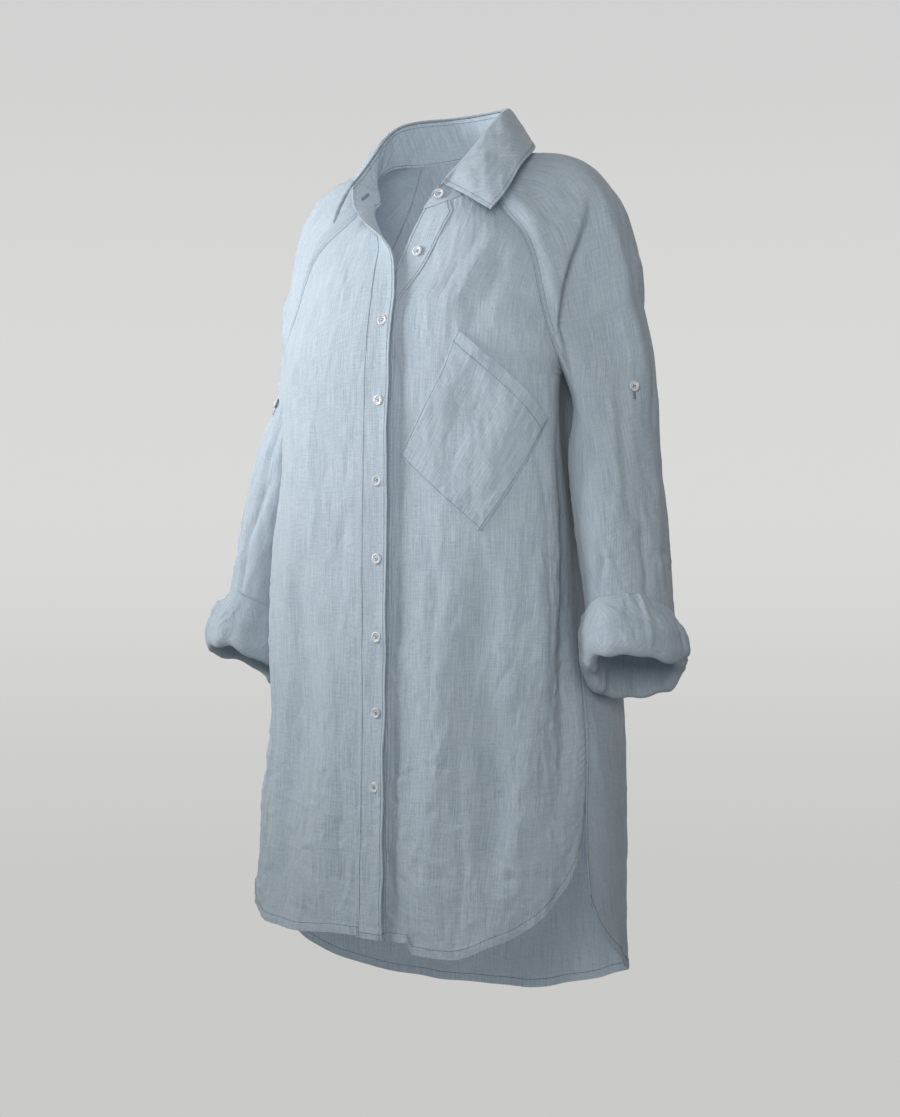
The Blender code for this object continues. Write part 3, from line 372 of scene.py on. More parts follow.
class Body:
    """The body's surface, read by the distance across from the centre front and by height."""

    sections = Curve.of_table(BODY_SECTIONS)

    @classmethod
    def knots(cls, z: Array) -> tuple[Array, Array, Array]:
        """The five knots of half a level section, their places along it and the slopes there.

        Args:
            z: Heights.

        Returns:
            The knots, their places and their slopes for each height.
        """
        columns = np.moveaxis(cls.sections.at(z), -1, 0)
        front_y, corner_x, corner_y, side_x, side_y, blade_x, blade_y, back_y = columns
        zero = np.zeros_like(front_y)
        pairs = (
            (zero, front_y),
            (corner_x, corner_y),
            (side_x, side_y),
            (blade_x, blade_y),
            (zero, back_y),
        )
        knots = np.stack([np.stack(pair, -1) for pair in pairs], -2)
        steps = np.linalg.norm(np.diff(knots, axis=-2), axis=-1)
        places = np.concatenate([np.zeros_like(steps[..., :1]), np.cumsum(steps, -1)], -1)
        count = len(pairs)
        matrix = np.zeros(steps.shape[:-1] + (count, count))
        right = np.zeros_like(knots)
        matrix[..., 0, 0] = matrix[..., -1, -1] = right[..., 0, 0] = 1.0
        right[..., -1, 0] = -1.0
        for i in range(1, count - 1):
            before, after = 1.0 / steps[..., i - 1], 1.0 / steps[..., i]
            matrix[..., i, i - 1] = before
            matrix[..., i, i] = 2.0 * (before + after)
            matrix[..., i, i + 1] = after
            first = (knots[..., i, :] - knots[..., i - 1, :]) * before[..., None] ** 2
            second = (knots[..., i + 1, :] - knots[..., i, :]) * after[..., None] ** 2
            right[..., i, :] = 3.0 * (first + second)
        return knots, places, np.linalg.solve(matrix, right)

    @classmethod
    def half_girth(cls, z: Array) -> tuple[Array, Array]:
        """Half the way round the body at a height, and the way from centre front to side seam."""
        places = cls.knots(np.asarray(z, float))[1]
        return places[..., -1], places[..., 2]

    @classmethod
    def point(cls, across: Array, z: Array) -> Array:
        """The surface at a distance across, to the wearer's left, and a height.

        Args:
            across: The distances across.
            z: The heights.

        Returns:
            One point for each pair.
        """
        across, z = np.broadcast_arrays(np.asarray(across, float), np.asarray(z, float))
        knots, places, slopes = cls.knots(z)
        way = np.minimum(np.abs(across), places[..., -1])
        i = np.clip((way[..., None] >= places).sum(-1) - 1, 0, places.shape[-1] - 2)
        low_place = np.take_along_axis(places, i[..., None], -1)
        step = np.take_along_axis(places, i[..., None] + 1, -1) - low_place
        t = (way[..., None] - low_place) / step
        low, high = (np.take_along_axis(knots, (i + k)[..., None, None], -2)[..., 0, :] for k in (0, 1))
        start, end = (np.take_along_axis(slopes, (i + k)[..., None, None], -2)[..., 0, :] for k in (0, 1))
        flat = hermite(t, low, high - low, start * step, end * step)
        return np.stack([np.where(across < 0, -1.0, 1.0) * flat[..., 0], flat[..., 1], z], -1)

    @classmethod
    def normal(cls, across: Array, z: Array) -> Array:
        """The outward unit normal of the surface.

        Args:
            across: The distances across.
            z: The heights.

        Returns:
            One normal for each pair.
        """
        step = 0.002
        along = cls.point(across + step, z) - cls.point(across - step, z)
        up = cls.point(across, z + step) - cls.point(across, z - step)
        return unit(np.cross(along, up))

    @classmethod
    def place_across(cls, point: Array) -> float:
        """The distance across at which the surface comes nearest to a point, at its height.

        Args:
            point: A point near the surface.

        Returns:
            The distance across.
        """
        tries = np.linspace(0.0, float(cls.half_girth(point[2])[0]), 4000)
        gaps = np.linalg.norm(cls.point(tries, point[2]) - point, axis=-1)
        return float(tries[gaps.argmin()])


def neck_lengths() -> Array:
    """The lengths along the neck seam at which its named places lie.

    Returns:
        One length for each place, from the left front's end on.
    """
    points = np.array([row[1] for row in NECK_TABLE])
    steps = np.linalg.norm(np.diff(points, axis=0), axis=1)
    return np.concatenate([[0.0], np.cumsum(steps)])


EDGES = Curve.of_table(FRONT_EDGES, steady=True)
RAGLANS = {"front": Curve.of_table(FRONT_RAGLAN), "back": Curve.of_table(BACK_RAGLAN)}
SHOULDER = Curve.of_table(SHOULDER_LINE)
SLEEVE = Curve.of_table(SLEEVE_RINGS)
NECK, FOLD, EDGE = (Curve(neck_lengths(), [row[column] for row in NECK_TABLE]) for column in (1, 2, 3))
NECK_PLACES = dict(zip([row[0] for row in NECK_TABLE], NECK.places))
SEAM_SHARES = np.array([0.0, 0.05, 0.11, 0.18, 0.26, 0.36, 0.48, 0.60, 0.72, 0.83, 0.92, 1.0])
SEAM_ACROSS = {
    name: Curve(SEAM_SHARES, [[Body.place_across(curve.at(share))] for share in SEAM_SHARES])
    for name, curve in RAGLANS.items()
}


def seam_sink(share: Array, z: Array) -> Array:
    """How deep the long seams sink: none at the underarm, where three pieces meet, nor by the slit."""
    body = smoothstep((ARMPIT_Z - 0.010 - z) / 0.02) * smoothstep((z - SLIT_TOP_Z) / 0.01)
    return SEAM_SINK * np.maximum(smoothstep((share - ARMPIT_SHARE) / 0.08), body)


def seam_points(name: str, shares: Array) -> Array:
    """How far the raglan seam's points move into its groove, as on the wearer's left.

    Args:
        name: Which seam, front or back.
        shares: Shares of the way up it.

    Returns:
        One shift for each share.
    """
    seam = RAGLANS[name].at(shares)
    across = SEAM_ACROSS[name].at(shares)[..., 0]
    return Body.normal(across, seam[..., 2]) * -seam_sink(shares, seam[..., 2])[..., None]


FRONT_MIDDLE_Z = NECK_TABLE[0][1][2]
BACK_MIDDLE_Z = NECK_TABLE[5][1][2]


# ---------------------------------------------------------------- creases


@dataclass(frozen=True)
class Crease:
    """A soft trough or ridge along a bowed line of a sheet, outwards where its depth is above zero."""

    start: tuple[float, float]
    end: tuple[float, float]
    width: float
    depth: float
    bow: float = 0.0
    sharp: float = 0.0

    # How far the line wavers, in widths.
    waver = 0.25

    def height(self, across: Array, down: Array) -> Array:
        """How far the crease moves the cloth out.

        Args:
            across: Places across the sheet, in metres.
            down: Places down the sheet, in metres.

        Returns:
            Heights in metres, of the same shape.
        """
        way = np.subtract(self.end, self.start)
        length = math.hypot(*way)
        ahead = way / length
        along = ((across - self.start[0]) * ahead[0] + (down - self.start[1]) * ahead[1]) / length
        beside = (across - self.start[0]) * -ahead[1] + (down - self.start[1]) * ahead[0]
        share = np.clip(along, 0.0, 1.0)
        bend = self.bow * length * 4.0 * share * (1.0 - share)
        waver = self.waver * self.width * np.sin(11.0 * share + 40.0 * self.width + self.start[1] * 90.0)
        off = (beside - bend - waver) / (self.width * (0.6 + 0.4 * np.sin(math.pi * share)))
        past = np.maximum(np.abs(along - 0.5) - 0.5, 0.0) * length / (self.width * 1.5)
        ends = smoothstep(np.minimum(along, 1.0 - along) * 3.0 + 0.25) * np.exp(-(past**2))
        return self.depth * ends * self.section(off)

    def section(self, off: Array) -> Array:
        """The crease's form across its line, by the way off the line in widths.

        Args:
            off: The way off the line, in widths.

        Returns:
            The share of the crease's depth.
        """
        soft = np.exp(-(off**2))
        crisp = np.exp(-1.6 * np.abs(off)) * (1.0 - 0.35 * np.tanh(2.0 * off))
        return (1.0 - self.sharp) * soft + self.sharp * crisp


class Pleat(Crease):
    """A crease that steps at its line and eases out on one side, where cloth laps over cloth."""

    waver = 0.03

    def section(self, off: Array) -> Array:
        """A steep step on the near side of the line and a slow return on its far side."""
        return np.where(off > 0.0, np.exp(-(np.abs(off) ** 1.3)), np.exp(-((off / 0.09) ** 2)))


@dataclass(frozen=True)
class Crumple:
    """Small creases strewn over a stretch of a sheet, with seeded places, lengths and leans.

    The lean is in degrees from level, and the stretch gives across and down limits in metres.
    """

    seed: int
    count: int
    across: tuple[float, float]
    down: tuple[float, float]
    depth: float = 0.0009
    length: tuple[float, float] = (0.018, 0.060)
    width: tuple[float, float] = (0.0030, 0.0075)
    lean: tuple[float, float] = (-25.0, 25.0)
    sharp: float = 0.65

    def creases(self) -> list[Crease]:
        """The strewn creases.

        Returns:
            One crease for each of the count.
        """
        draw = np.random.default_rng(self.seed)
        found = []
        for _ in range(self.count):
            middle = (draw.uniform(*self.across), draw.uniform(*self.down))
            lean = math.radians(draw.uniform(*self.lean))
            half = draw.uniform(*self.length) / 2.0
            step = (half * math.cos(lean), half * math.sin(lean))
            start = (middle[0] - step[0], middle[1] - step[1])
            end = (middle[0] + step[0], middle[1] + step[1])
            depth = self.depth * draw.choice((-1.0, 1.0)) * draw.uniform(0.35, 1.0)
            width = draw.uniform(*self.width)
            found.append(Crease(start, end, width, depth, draw.uniform(-0.12, 0.12), self.sharp))
        return found


@dataclass(frozen=True)
class Swell:
    """A slow, uneven rise and fall of a sheet, from a few seeded waves that bend one another."""

    seed: int
    depth: float
    span: float
    stretch: float = 1.0

    def height(self, across: Array, down: Array) -> Array:
        """How far the swell moves the cloth out at places across and down.

        Args:
            across: Places across the sheet, in metres.
            down: Places down the sheet, in metres.

        Returns:
            Heights in metres, of the same shape.
        """
        draw = np.random.default_rng(self.seed)
        total = np.zeros(np.broadcast(across, down).shape)
        x, y = across / self.span, down / (self.span * self.stretch)
        for octave in range(3):
            first, second = draw.uniform(0, ABOUT_A_TURN), draw.uniform(0, ABOUT_A_TURN)
            bend = np.sin(1.7 * y + first) + np.sin(1.3 * x + second)
            for _ in range(3):
                turn = draw.uniform(0, math.pi)
                phase = draw.uniform(0, ABOUT_A_TURN)
                run = ABOUT_A_TURN * (x * math.cos(turn) + y * math.sin(turn))
                total = total + np.sin(run + phase + 0.9 * bend) / (3.0 * 2.0**octave)
            x, y = x * 2.1, y * 2.1
        return self.depth * total


@dataclass(frozen=True)
class Relief:
    """Everything that lifts or sinks one sheet: its folds, its small creases and its swell."""

    folds: tuple[Crease, ...] = ()
    crumples: tuple[Crumple, ...] = ()
    swells: tuple[Swell, ...] = ()

    def height(self, across: Array, down: Array) -> Array:
        """How far the cloth stands out at places across and down, in metres.

        Args:
            across: Places across the sheet.
            down: Places down the sheet.

        Returns:
            Heights of the same shape.
        """
        across, down = np.broadcast_arrays(np.asarray(across, float), np.asarray(down, float))
        total = np.zeros(across.shape)
        for crease in [*self.folds, *(c for crumple in self.crumples for c in crumple.creases())]:
            low = np.minimum(crease.start, crease.end) - 3.5 * crease.width - abs(crease.bow) * 0.1
            high = np.maximum(crease.start, crease.end) + 3.5 * crease.width + abs(crease.bow) * 0.1
            near = (across > low[0]) & (across < high[0]) & (down > low[1]) & (down < high[1])
            if near.any():
                total[near] += crease.height(across[near], down[near])
        for swell in self.swells:
            total += swell.height(across, down)
        return total


@dataclass(frozen=True)
class Gathers:
    """Little gathers that run off a sewn line, by their usual pitch, their reach and their depth."""

    pitch: float
    reach: float
    depth: float

    def height(self, distance: Array, along: Array) -> Array:
        """How far the gathers move the cloth out.

        Args:
            distance: How far each point lies from the line.
            along: How far along the line each point lies.

        Returns:
            Heights in metres.
        """
        lean = along + 0.35 * distance
        steps = lean / self.pitch
        turn = ABOUT_A_TURN * steps + 1.9 * np.sin(steps * 0.83) + 1.3 * np.sin(steps * 0.31)
        uneven = 0.55 + 0.45 * np.sin(steps * 0.47 + 1.0)
        pinned = smoothstep(np.abs(distance) / 0.0035)
        fade = np.exp(-((distance / self.reach) ** 2))
        return self.depth * uneven * pinned * np.sin(turn) * fade


@dataclass(frozen=True)
class Hem:
    """A hem's turned edge, its gathers and the ripple of its free cloth."""

    # The ripple in radians per metre, how far and how often it wanders, its depth and its reach.
    pitch: float
    bend: float
    bend_pitch: float
    depth: float
    reach: float

    gathers = Gathers(0.0088, 0.007, 0.0006)

    def height(self, to_hem: Array, along: Array) -> Array:
        """How far the hem moves the cloth out.

        Args:
            to_hem: How far each point lies above the edge.
            along: How far along the edge each point lies.

        Returns:
            Heights in metres.
        """
        turned = 0.0008 * (1.0 - smoothstep((to_hem - HEM_TURN + 0.0012) / 0.0016))
        wave = np.sin(along * self.pitch + self.bend * np.sin(along * self.bend_pitch))
        ripple = self.depth * wave * np.exp(-((to_hem / self.reach) ** 2))
        return turned + self.gathers.height(np.abs(to_hem - 0.006), along) + ripple


def height_round_arm(relief: Relief, turns: Array, down: Array, start: float) -> Array:
    """A relief laid round the arm, its end eased into its beginning behind the arm.

    Args:
        relief: The relief.
        turns: Angles round the arm.
        down: Lengths down the arm, of the same shape.
        start: The turn at which the easing starts, in half turns.

    Returns:
        Heights of the same shape.
    """
    around = turns * ARM_RADIUS
    near = 1.0 - smoothstep((turns - start * math.pi) / ((2.0 - start) * math.pi))
    before = relief.height(around - 2.0 * math.pi * ARM_RADIUS, down)
    return near * relief.height(around, down) + (1.0 - near) * before


FRONT_SIDE_GATHERS = Gathers(0.0085, 0.011, 0.00055)
BAND_EDGE_GATHERS = Gathers(0.012, 0.008, 0.0006)
BAND_SEAM_GATHERS = Gathers(0.0095, 0.010, 0.0005)
FRONT_NECK_GATHERS = Gathers(0.008, 0.011, 0.0004)
BACK_SIDE_GATHERS = Gathers(0.009, 0.011, 0.0006)
BACK_NECK_GATHERS = Gathers(0.008, 0.012, 0.0004)
SLEEVE_SEAM_GATHERS = Gathers(0.008, 0.018, 0.0009)
STAND_SEAM_GATHERS = Gathers(0.008, 0.006, 0.0003)
FALL_EDGE_GATHERS = Gathers(0.010, 0.006, 0.0003)
POCKET_EDGE_GATHERS = Gathers(0.0075, 0.006, 0.0005)
FRONT_LOWER_EDGE = Hem(75.0, 1.5, 31.0, 0.0022, 0.022)
BACK_LOWER_EDGE = Hem(58.0, 1.7, 23.0, 0.0030, 0.030)


# ---------------------------------------------------------------- sheets and shells


@dataclass
class Sheet:
    """A grid of cloth points, its rows downwards and its columns anticlockwise seen from above."""

    points: Array
    wrap: bool = False
    # The row from which the weave is measured down, and the share of the width it is measured from.
    level: int = 0
    plumb: float = 0.5

    def widths(self) -> Array:
        """The length along each row to each point."""
        steps = np.linalg.norm(np.diff(self.points, axis=1), axis=-1)
        return np.concatenate([np.zeros((len(self.points), 1)), np.cumsum(steps, 1)], 1)

    def heights(self) -> Array:
        """The length down each column to each point."""
        steps = np.linalg.norm(np.diff(self.points, axis=0), axis=-1)
        return np.concatenate([np.zeros((1, self.points.shape[1])), np.cumsum(steps, 0)], 0)

    def normals(self) -> Array:
        """Outward unit normals.

        Returns:
            One normal for each point.
        """
        points = self.points
        if self.wrap:
            padded = np.concatenate([points[:, -1:], points, points[:, :1]], 1)
            sideways = (padded[:, 2:] - padded[:, :-2]) / 2.0
        else:
            sideways = np.gradient(points, axis=1)
        return unit(np.cross(np.gradient(points, axis=0), sideways))

    def raised(self, height: Array, normals: Array | None = None) -> "Sheet":
        """The sheet with its points moved out by a height."""
        outward = self.normals() if normals is None else normals
        return replace(self, points=self.points + outward * np.asarray(height)[..., None])

    def cut(self) -> tuple[float, float, float]:
        """The cut's width, length and area, flat.

        Returns:
            The three measures, in metres and square metres.
        """
        widths, heights = self.widths(), self.heights()
        steps_along = np.linalg.norm(np.diff(self.points, axis=1), axis=-1)
        steps_down = np.linalg.norm(np.diff(self.points, axis=0), axis=-1)
        area = (steps_along[:-1] * steps_down[:, :-1]).sum()
        return float(widths[:, -1].max()), float(heights[-1].max()), float(area)

    def at(self, row: Array, column: Array, lift: float = 0.0) -> Array:
        """Points at rows and columns that may lie between the grid's own.

        Args:
            row: Places down the grid, in rows.
            column: Places across the grid, in columns.
            lift: How far out the points are moved.

        Returns:
            One point for each place.
        """
        grid = self.raised(np.full(self.points.shape[:2], lift)).points if lift else self.points
        rows, columns = grid.shape[:2]
        row = np.clip(row, 0, rows - 1.001)
        column = np.clip(column, 0, columns - 1.001)
        r, c = row.astype(int), column.astype(int)
        s, t = (row - r)[:, None], (column - c)[:, None]
        upper = grid[r, c] * (1 - t) + grid[r, c + 1] * t
        lower = grid[r + 1, c] * (1 - t) + grid[r + 1, c + 1] * t
        return upper * (1 - s) + lower * s

    def line_down(self, inset: float, from_end: bool = False, lift: float = STITCH_LIFT) -> Array:
        """A line of points down the sheet at a distance in from its first or last column.

        Args:
            inset: The distance in.
            from_end: True to measure from the last column.
            lift: How far out the line lies.

        Returns:
            The line's points, one for each row.
        """
        widths = self.widths()
        if from_end:
            widths = widths[:, -1:] - widths[:, ::-1]
        columns = np.array([np.interp(inset, row, np.arange(len(row))) for row in widths])
        if from_end:
            columns = widths.shape[1] - 1 - columns
        return self.at(np.arange(len(columns), dtype=float), columns, lift)

    def line_across(self, inset: float, from_top: bool = False, lift: float = STITCH_LIFT) -> Array:
        """A line of points across the sheet at a distance in from its lowest or highest row.

        Args:
            inset: The distance in.
            from_top: True to measure from the highest row.
            lift: How far out the line lies.

        Returns:
            The line's points, one for each column.
        """
        heights = self.heights()
        count = len(heights)
        if from_top:
            rows = np.array([np.interp(inset, col, np.arange(count)) for col in heights.T])
        else:
            from_low = (heights[-1:] - heights)[::-1]
            rows = count - 1 - np.array([np.interp(inset, col, np.arange(count)) for col in from_low.T])
        return self.at(rows, np.arange(len(rows), dtype=float), lift)


def sheet_faces(sheet: Sheet, first: int, flip: bool) -> tuple[list, list]:
    """The quads of a sheet and the flat place of each of their corners.

    Args:
        sheet: The grid.
        first: The number of its first point in the mesh.
        flip: True where the grid runs clockwise.

    Returns:
        The quads, and a flat place in metres for every corner of every quad.
    """
    rows, columns = sheet.points.shape[:2]
    closed = Sheet(np.concatenate([sheet.points, sheet.points[:, :1]], 1)) if sheet.wrap else sheet
    u, v = closed.widths(), -closed.heights()
    u, v = u - u[:, -1:] * sheet.plumb, v - v[sheet.level]
    faces, flat = [], []
    for r in range(rows - 1):
        for c in range(columns if sheet.wrap else columns - 1):
            corners = [(r, c), (r + 1, c), (r + 1, c + 1), (r, c + 1)]
            if flip:
                corners.reverse()
            faces.append([first + i * columns + j % columns for i, j in corners])
            flat += [(u[i, j], v[i, j]) for i, j in corners]
    return faces, flat


def new_object(name: str, points: list, edges: list, faces: list, *materials: Material) -> Object:
    """An object from plain points, edges and faces, linked to the scene.

    Args:
        name: Its name.
        points: Its points.
        edges: Its edges that belong to no face.
        faces: Its faces.
        materials: Its finishes.

    Returns:
        The object.
    """
    mesh = bpy.data.meshes.new(name)
    mesh.from_pydata(points, edges, faces)
    for material in materials:
        mesh.materials.append(material)
    obj = bpy.data.objects.new(name, mesh)
    bpy.context.scene.collection.objects.link(obj)
    return obj


def set_flat_map(obj: Object, flat: list) -> None:
    """Gives a mesh the map of flat places that the weave is read from."""
    obj.data.uv_layers.new(name="cut").data.foreach_set("uv", np.array(flat).ravel())


def set_ways(obj: Object, label: str, ways: list) -> None:
    """Gives every point of a mesh a direction under a label."""
    attribute = obj.data.attributes.new(label, "FLOAT_VECTOR", "POINT")
    attribute.data.foreach_set("vector", np.array(ways).ravel())


def plain_mesh(obj: Object) -> None:
    """Turns what an object's modifiers make into its own mesh and removes them.

    Args:
        obj: The object.
    """
    graph = bpy.context.evaluated_depsgraph_get()
    mesh = bpy.data.meshes.new_from_object(obj.evaluated_get(graph))
    obj.modifiers.clear()
    obj.data = mesh


def cloth_shell(
    name: str,
    sheets: list[Sheet],
    thickness: float,
    materials: tuple[Material, Material],
    flip: bool = False,
) -> Object:
    """A thin closed shell whose outer face is one or more sheets that share edges.

    Args:
        name: The piece's name.
        sheets: The grids of its outer face.
        thickness: The cloth's thickness, laid on inwards.
        materials: The finishes of its outer and of its inner face.
        flip: True where the grids run clockwise.

    Returns:
        The finished object.
    """
    points, faces, flat = [], [], []
    for sheet in sheets:
        quads, places = sheet_faces(sheet, len(points), flip)
        faces += quads
        flat += places
        points += sheet.points.reshape(-1, 3).tolist()
    obj = new_object(name, points, [], faces, *materials)
    set_flat_map(obj, flat)
    weld = obj.modifiers.new("Weld", "WELD")
    weld.merge_threshold = WELD_GAP
    wall = obj.modifiers.new("Wall", "SOLIDIFY")
    wall.thickness = thickness
    wall.offset = -1.0
    wall.material_offset = 1
    plain_mesh(obj)
    obj.data.shade_smooth()
    obj.data.set_sharp_from_angle(angle=math.radians(SHARP_ANGLE))
    return obj


# ---------------------------------------------------------------- nodes and finishes

Value = object
Colour = tuple[float, float, float, float]


@dataclass(frozen=True)
class Wiring:
    """A node tree that is put together node by node."""

    tree: NodeTree

    def feed(self, socket: NodeSocket, value: Value) -> None:
        """Joins a socket to another one, or sets its value.

        Args:
            socket: The input.
            value: Another node's output, or a value.
        """
        if isinstance(value, NodeSocket):
            self.tree.links.new(value, socket)
        else:
            socket.default_value = value

    def add(self, kind: str, inputs: dict | None = None, **settings: Value) -> bpy.types.Node:
        """Adds a node.

        Args:
            kind: The node's type.
            inputs: What its inputs are joined to or set to, by name or number.
            settings: Its other settings.

        Returns:
            The node.
        """
        node = self.tree.nodes.new(kind)
        for label, value in settings.items():
            setattr(node, label, value)
        for label, value in (inputs or {}).items():
            self.feed(node.inputs[label], value)
        return node

    def sum_of(self, *parts: tuple[NodeSocket, float]) -> NodeSocket:
        """The sum of sockets, each times its weight.

        Args:
            parts: Pairs of a socket and its weight.

        Returns:
            The sum's socket.
        """
        total = None
        for socket, weight in parts:
            part = self.add("ShaderNodeMath", {0: socket, 1: weight}, operation="MULTIPLY").outputs[0]
            if total is not None:
                part = self.add("ShaderNodeMath", {0: total, 1: part}, operation="ADD").outputs[0]
            total = part
        return total

    def two_tone(
        self, factor: NodeSocket, dark: Colour, light: Colour, low: float = 0.0, high: float = 1.0
    ) -> NodeSocket:
        """A colour between two tones.

        Args:
            factor: What the tone follows.
            dark: The tone at and below the low value.
            light: The tone at and above the high value.
            low: The value at which the dark tone ends.
            high: The value at which the light tone starts.

        Returns:
            The colour.
        """
        ramp = self.add("ShaderNodeValToRGB", {"Fac": factor})
        for element, place, colour in zip(ramp.color_ramp.elements, (low, high), (dark, light)):
            element.position = place
            element.color = colour
        return ramp.outputs["Color"]


def new_finish(name: str, constants: dict[str, float]) -> tuple[Material, Wiring, dict]:
    """A material with its shader's constants set.

    Args:
        name: The finish's name.
        constants: Values of the shader's inputs by name.

    Returns:
        The material, its wiring and the shader's inputs.
    """
    material = bpy.data.materials.new(name)
    material.use_nodes = True
    wiring = Wiring(material.node_tree)
    inputs = material.node_tree.nodes["Principled BSDF"].inputs
    for label, value in constants.items():
        inputs[label].default_value = value
    return material, wiring, inputs


def weave_group() -> NodeTree:
    """The shared linen weave: slubs, thread grid and tiny crumples on a flat place in metres.

    Returns:
        The group, whose height feeds a bump and whose slub chooses the tone.
    """
    tree = bpy.data.node_groups.new("linen_weave", "ShaderNodeTree")
    face = tree.interface
    face.new_socket("Place", in_out="INPUT", socket_type="NodeSocketVector")
    face.new_socket("Thread", in_out="INPUT", socket_type="NodeSocketFloat")
    face.new_socket("Slub", in_out="OUTPUT", socket_type="NodeSocketFloat")
    face.new_socket("Height", in_out="OUTPUT", socket_type="NodeSocketFloat")
    wiring = Wiring(tree)
    start, end = wiring.add("NodeGroupInput"), wiring.add("NodeGroupOutput")

    def noise(across: float, down: float, detail: float) -> NodeSocket:
        """A noise stretched along or across the cloth, in waves per metre.

        Args:
            across: Waves per metre across.
            down: Waves per metre down.
            detail: How many finer waves are added.

        Returns:
            The noise, about a half.
        """
        place = {"Vector": start.outputs["Place"], "Scale": (across, down, 1.0)}
        mapping = wiring.add("ShaderNodeMapping", place).outputs["Vector"]
        values = {"Vector": mapping, "Scale": 1.0, "Detail": detail}
        return wiring.add("ShaderNodeTexNoise", values).outputs["Fac"]

    def wave(place: NodeSocket, turn: NodeSocket) -> NodeSocket:
        """One wave for every two threads along one way of the cloth."""
        product = wiring.add("ShaderNodeMath", {0: place, 1: turn}, operation="MULTIPLY")
        return wiring.add("ShaderNodeMath", {0: product.outputs[0]}, operation="SINE").outputs[0]

    warp, weft = noise(900.0, 26.0, 2.0), noise(48.0, 820.0, 2.0)
    mottle, fine = noise(60.0, 24.0, 3.0), noise(520.0, 260.0, 3.0)
    threads = wiring.sum_of((warp, 0.66), (weft, 0.34))
    wiring.feed(end.inputs["Slub"], wiring.sum_of((threads, 0.72), (mottle, 0.08), (fine, 0.20)))
    split = wiring.add("ShaderNodeSeparateXYZ", {0: start.outputs["Place"]})
    halves = {0: 2.0 * math.pi, 1: start.outputs["Thread"]}
    turn = wiring.add("ShaderNodeMath", halves, operation="DIVIDE").outputs[0]
    crossings = {0: wave(split.outputs["X"], turn), 1: wave(split.outputs["Y"], turn)}
    grid = wiring.add("ShaderNodeMath", crossings, operation="MULTIPLY").outputs[0]
    height = wiring.sum_of((threads, 1.1), (grid, 0.06), (fine, 1.3), (mottle, 0.9))
    wiring.feed(end.inputs["Height"], height)
    return tree


@dataclass(frozen=True)
class LinenFinish:
    """Slub linen: two close blues, a soft sheen, a woven bump and, where set, a painted glow in its own
    colour.
    """

    name: str
    # How strongly this face glows in its own colour: painted light that stands in for light shining through
    # the cloth to this face.
    through: float = 0.0
    dark: Colour = (0.281, 0.348, 0.403, 1.0)
    light: Colour = (0.397, 0.459, 0.513, 1.0)
    # From one thread to the next, how rough the cloth is, and how high its weave stands.
    thread: float = 0.0011
    roughness: float = 0.88
    bump: float = 0.00042

    def material(self, weave: NodeTree) -> Material:
        """The finish as a material.

        Args:
            weave: The shared weave group.

        Returns:
            The material, which reads the piece's own map of flat places.
        """
        constants = {
            "Roughness": self.roughness,
            "Sheen Weight": 0.22,
            "Sheen Roughness": 0.45,
            "Specular IOR Level": 0.25,
            # Painted glow of the face, which stands in for light shining through the cloth.
            "Emission Strength": self.through,
        }
        material, wiring, shader = new_finish(self.name, constants)
        place = wiring.add("ShaderNodeUVMap", uv_map="cut").outputs["UV"]
        group = wiring.add("ShaderNodeGroup", node_tree=weave)
        wiring.feed(group.inputs["Place"], place)
        wiring.feed(group.inputs["Thread"], self.thread)
        colour = wiring.two_tone(group.outputs["Slub"], self.dark, self.light, 0.40, 0.60)
        wiring.feed(shader["Base Color"], colour)
        # Painted light: the face glows in the cloth's own colour, as strongly as its painted glow.
        wiring.feed(shader["Emission Color"], colour)
        relief = {"Distance": self.bump, "Height": group.outputs["Height"]}
        wiring.feed(shader["Normal"], wiring.add("ShaderNodeBump", relief).outputs["Normal"])
        return material


@dataclass(frozen=True)
class CloudyFinish:
    """A smooth finish with a faint cloud between two tones: pearl, or thread along its length."""

    name: str
    dark: Colour
    light: Colour
    roughness: float
    # Waves of the cloud per metre, and the values between which its tone changes.
    cloud: float
    low: float = 0.0
    high: float = 1.0
    coat: float = 0.0
    shine: float = 0.5

    def material(self) -> Material:
        """The finish as a material.

        Returns:
            The material.
        """
        constants = {
            "Roughness": self.roughness,
            "Coat Weight": self.coat,
            "Specular IOR Level": self.shine,
        }
        material, wiring, shader = new_finish(self.name, constants)
        place = wiring.add("ShaderNodeTexCoord").outputs["Object"]
        cloud = wiring.add("ShaderNodeTexNoise", {"Vector": place, "Scale": self.cloud}).outputs["Fac"]
        wiring.feed(shader["Base Color"], wiring.two_tone(cloud, self.dark, self.light, self.low, self.high))
        return material


PEARL = CloudyFinish(
    "pearl_button", (0.40, 0.43, 0.45, 1.0), (0.62, 0.64, 0.65, 1.0), 0.26, 160.0, 0.3, 0.62, coat=0.35
)
# The thread is darker than the cloth: partly the thread's own tone, partly painted shade for the dip along
# each stitch line.
THREAD = CloudyFinish(
    "sewing_thread", (0.110, 0.150, 0.200, 1.0), (0.180, 0.230, 0.285, 1.0), 0.6, 900.0, shine=0.3
)


# ---------------------------------------------------------------- sewing and buttons


class Socket(Enum):
    """The kinds of named input of a geometry tree."""

    GEOMETRY = "NodeSocketGeometry"
    LENGTH = "NodeSocketFloat"
    MATERIAL = "NodeSocketMaterial"
    OBJECT = "NodeSocketObject"


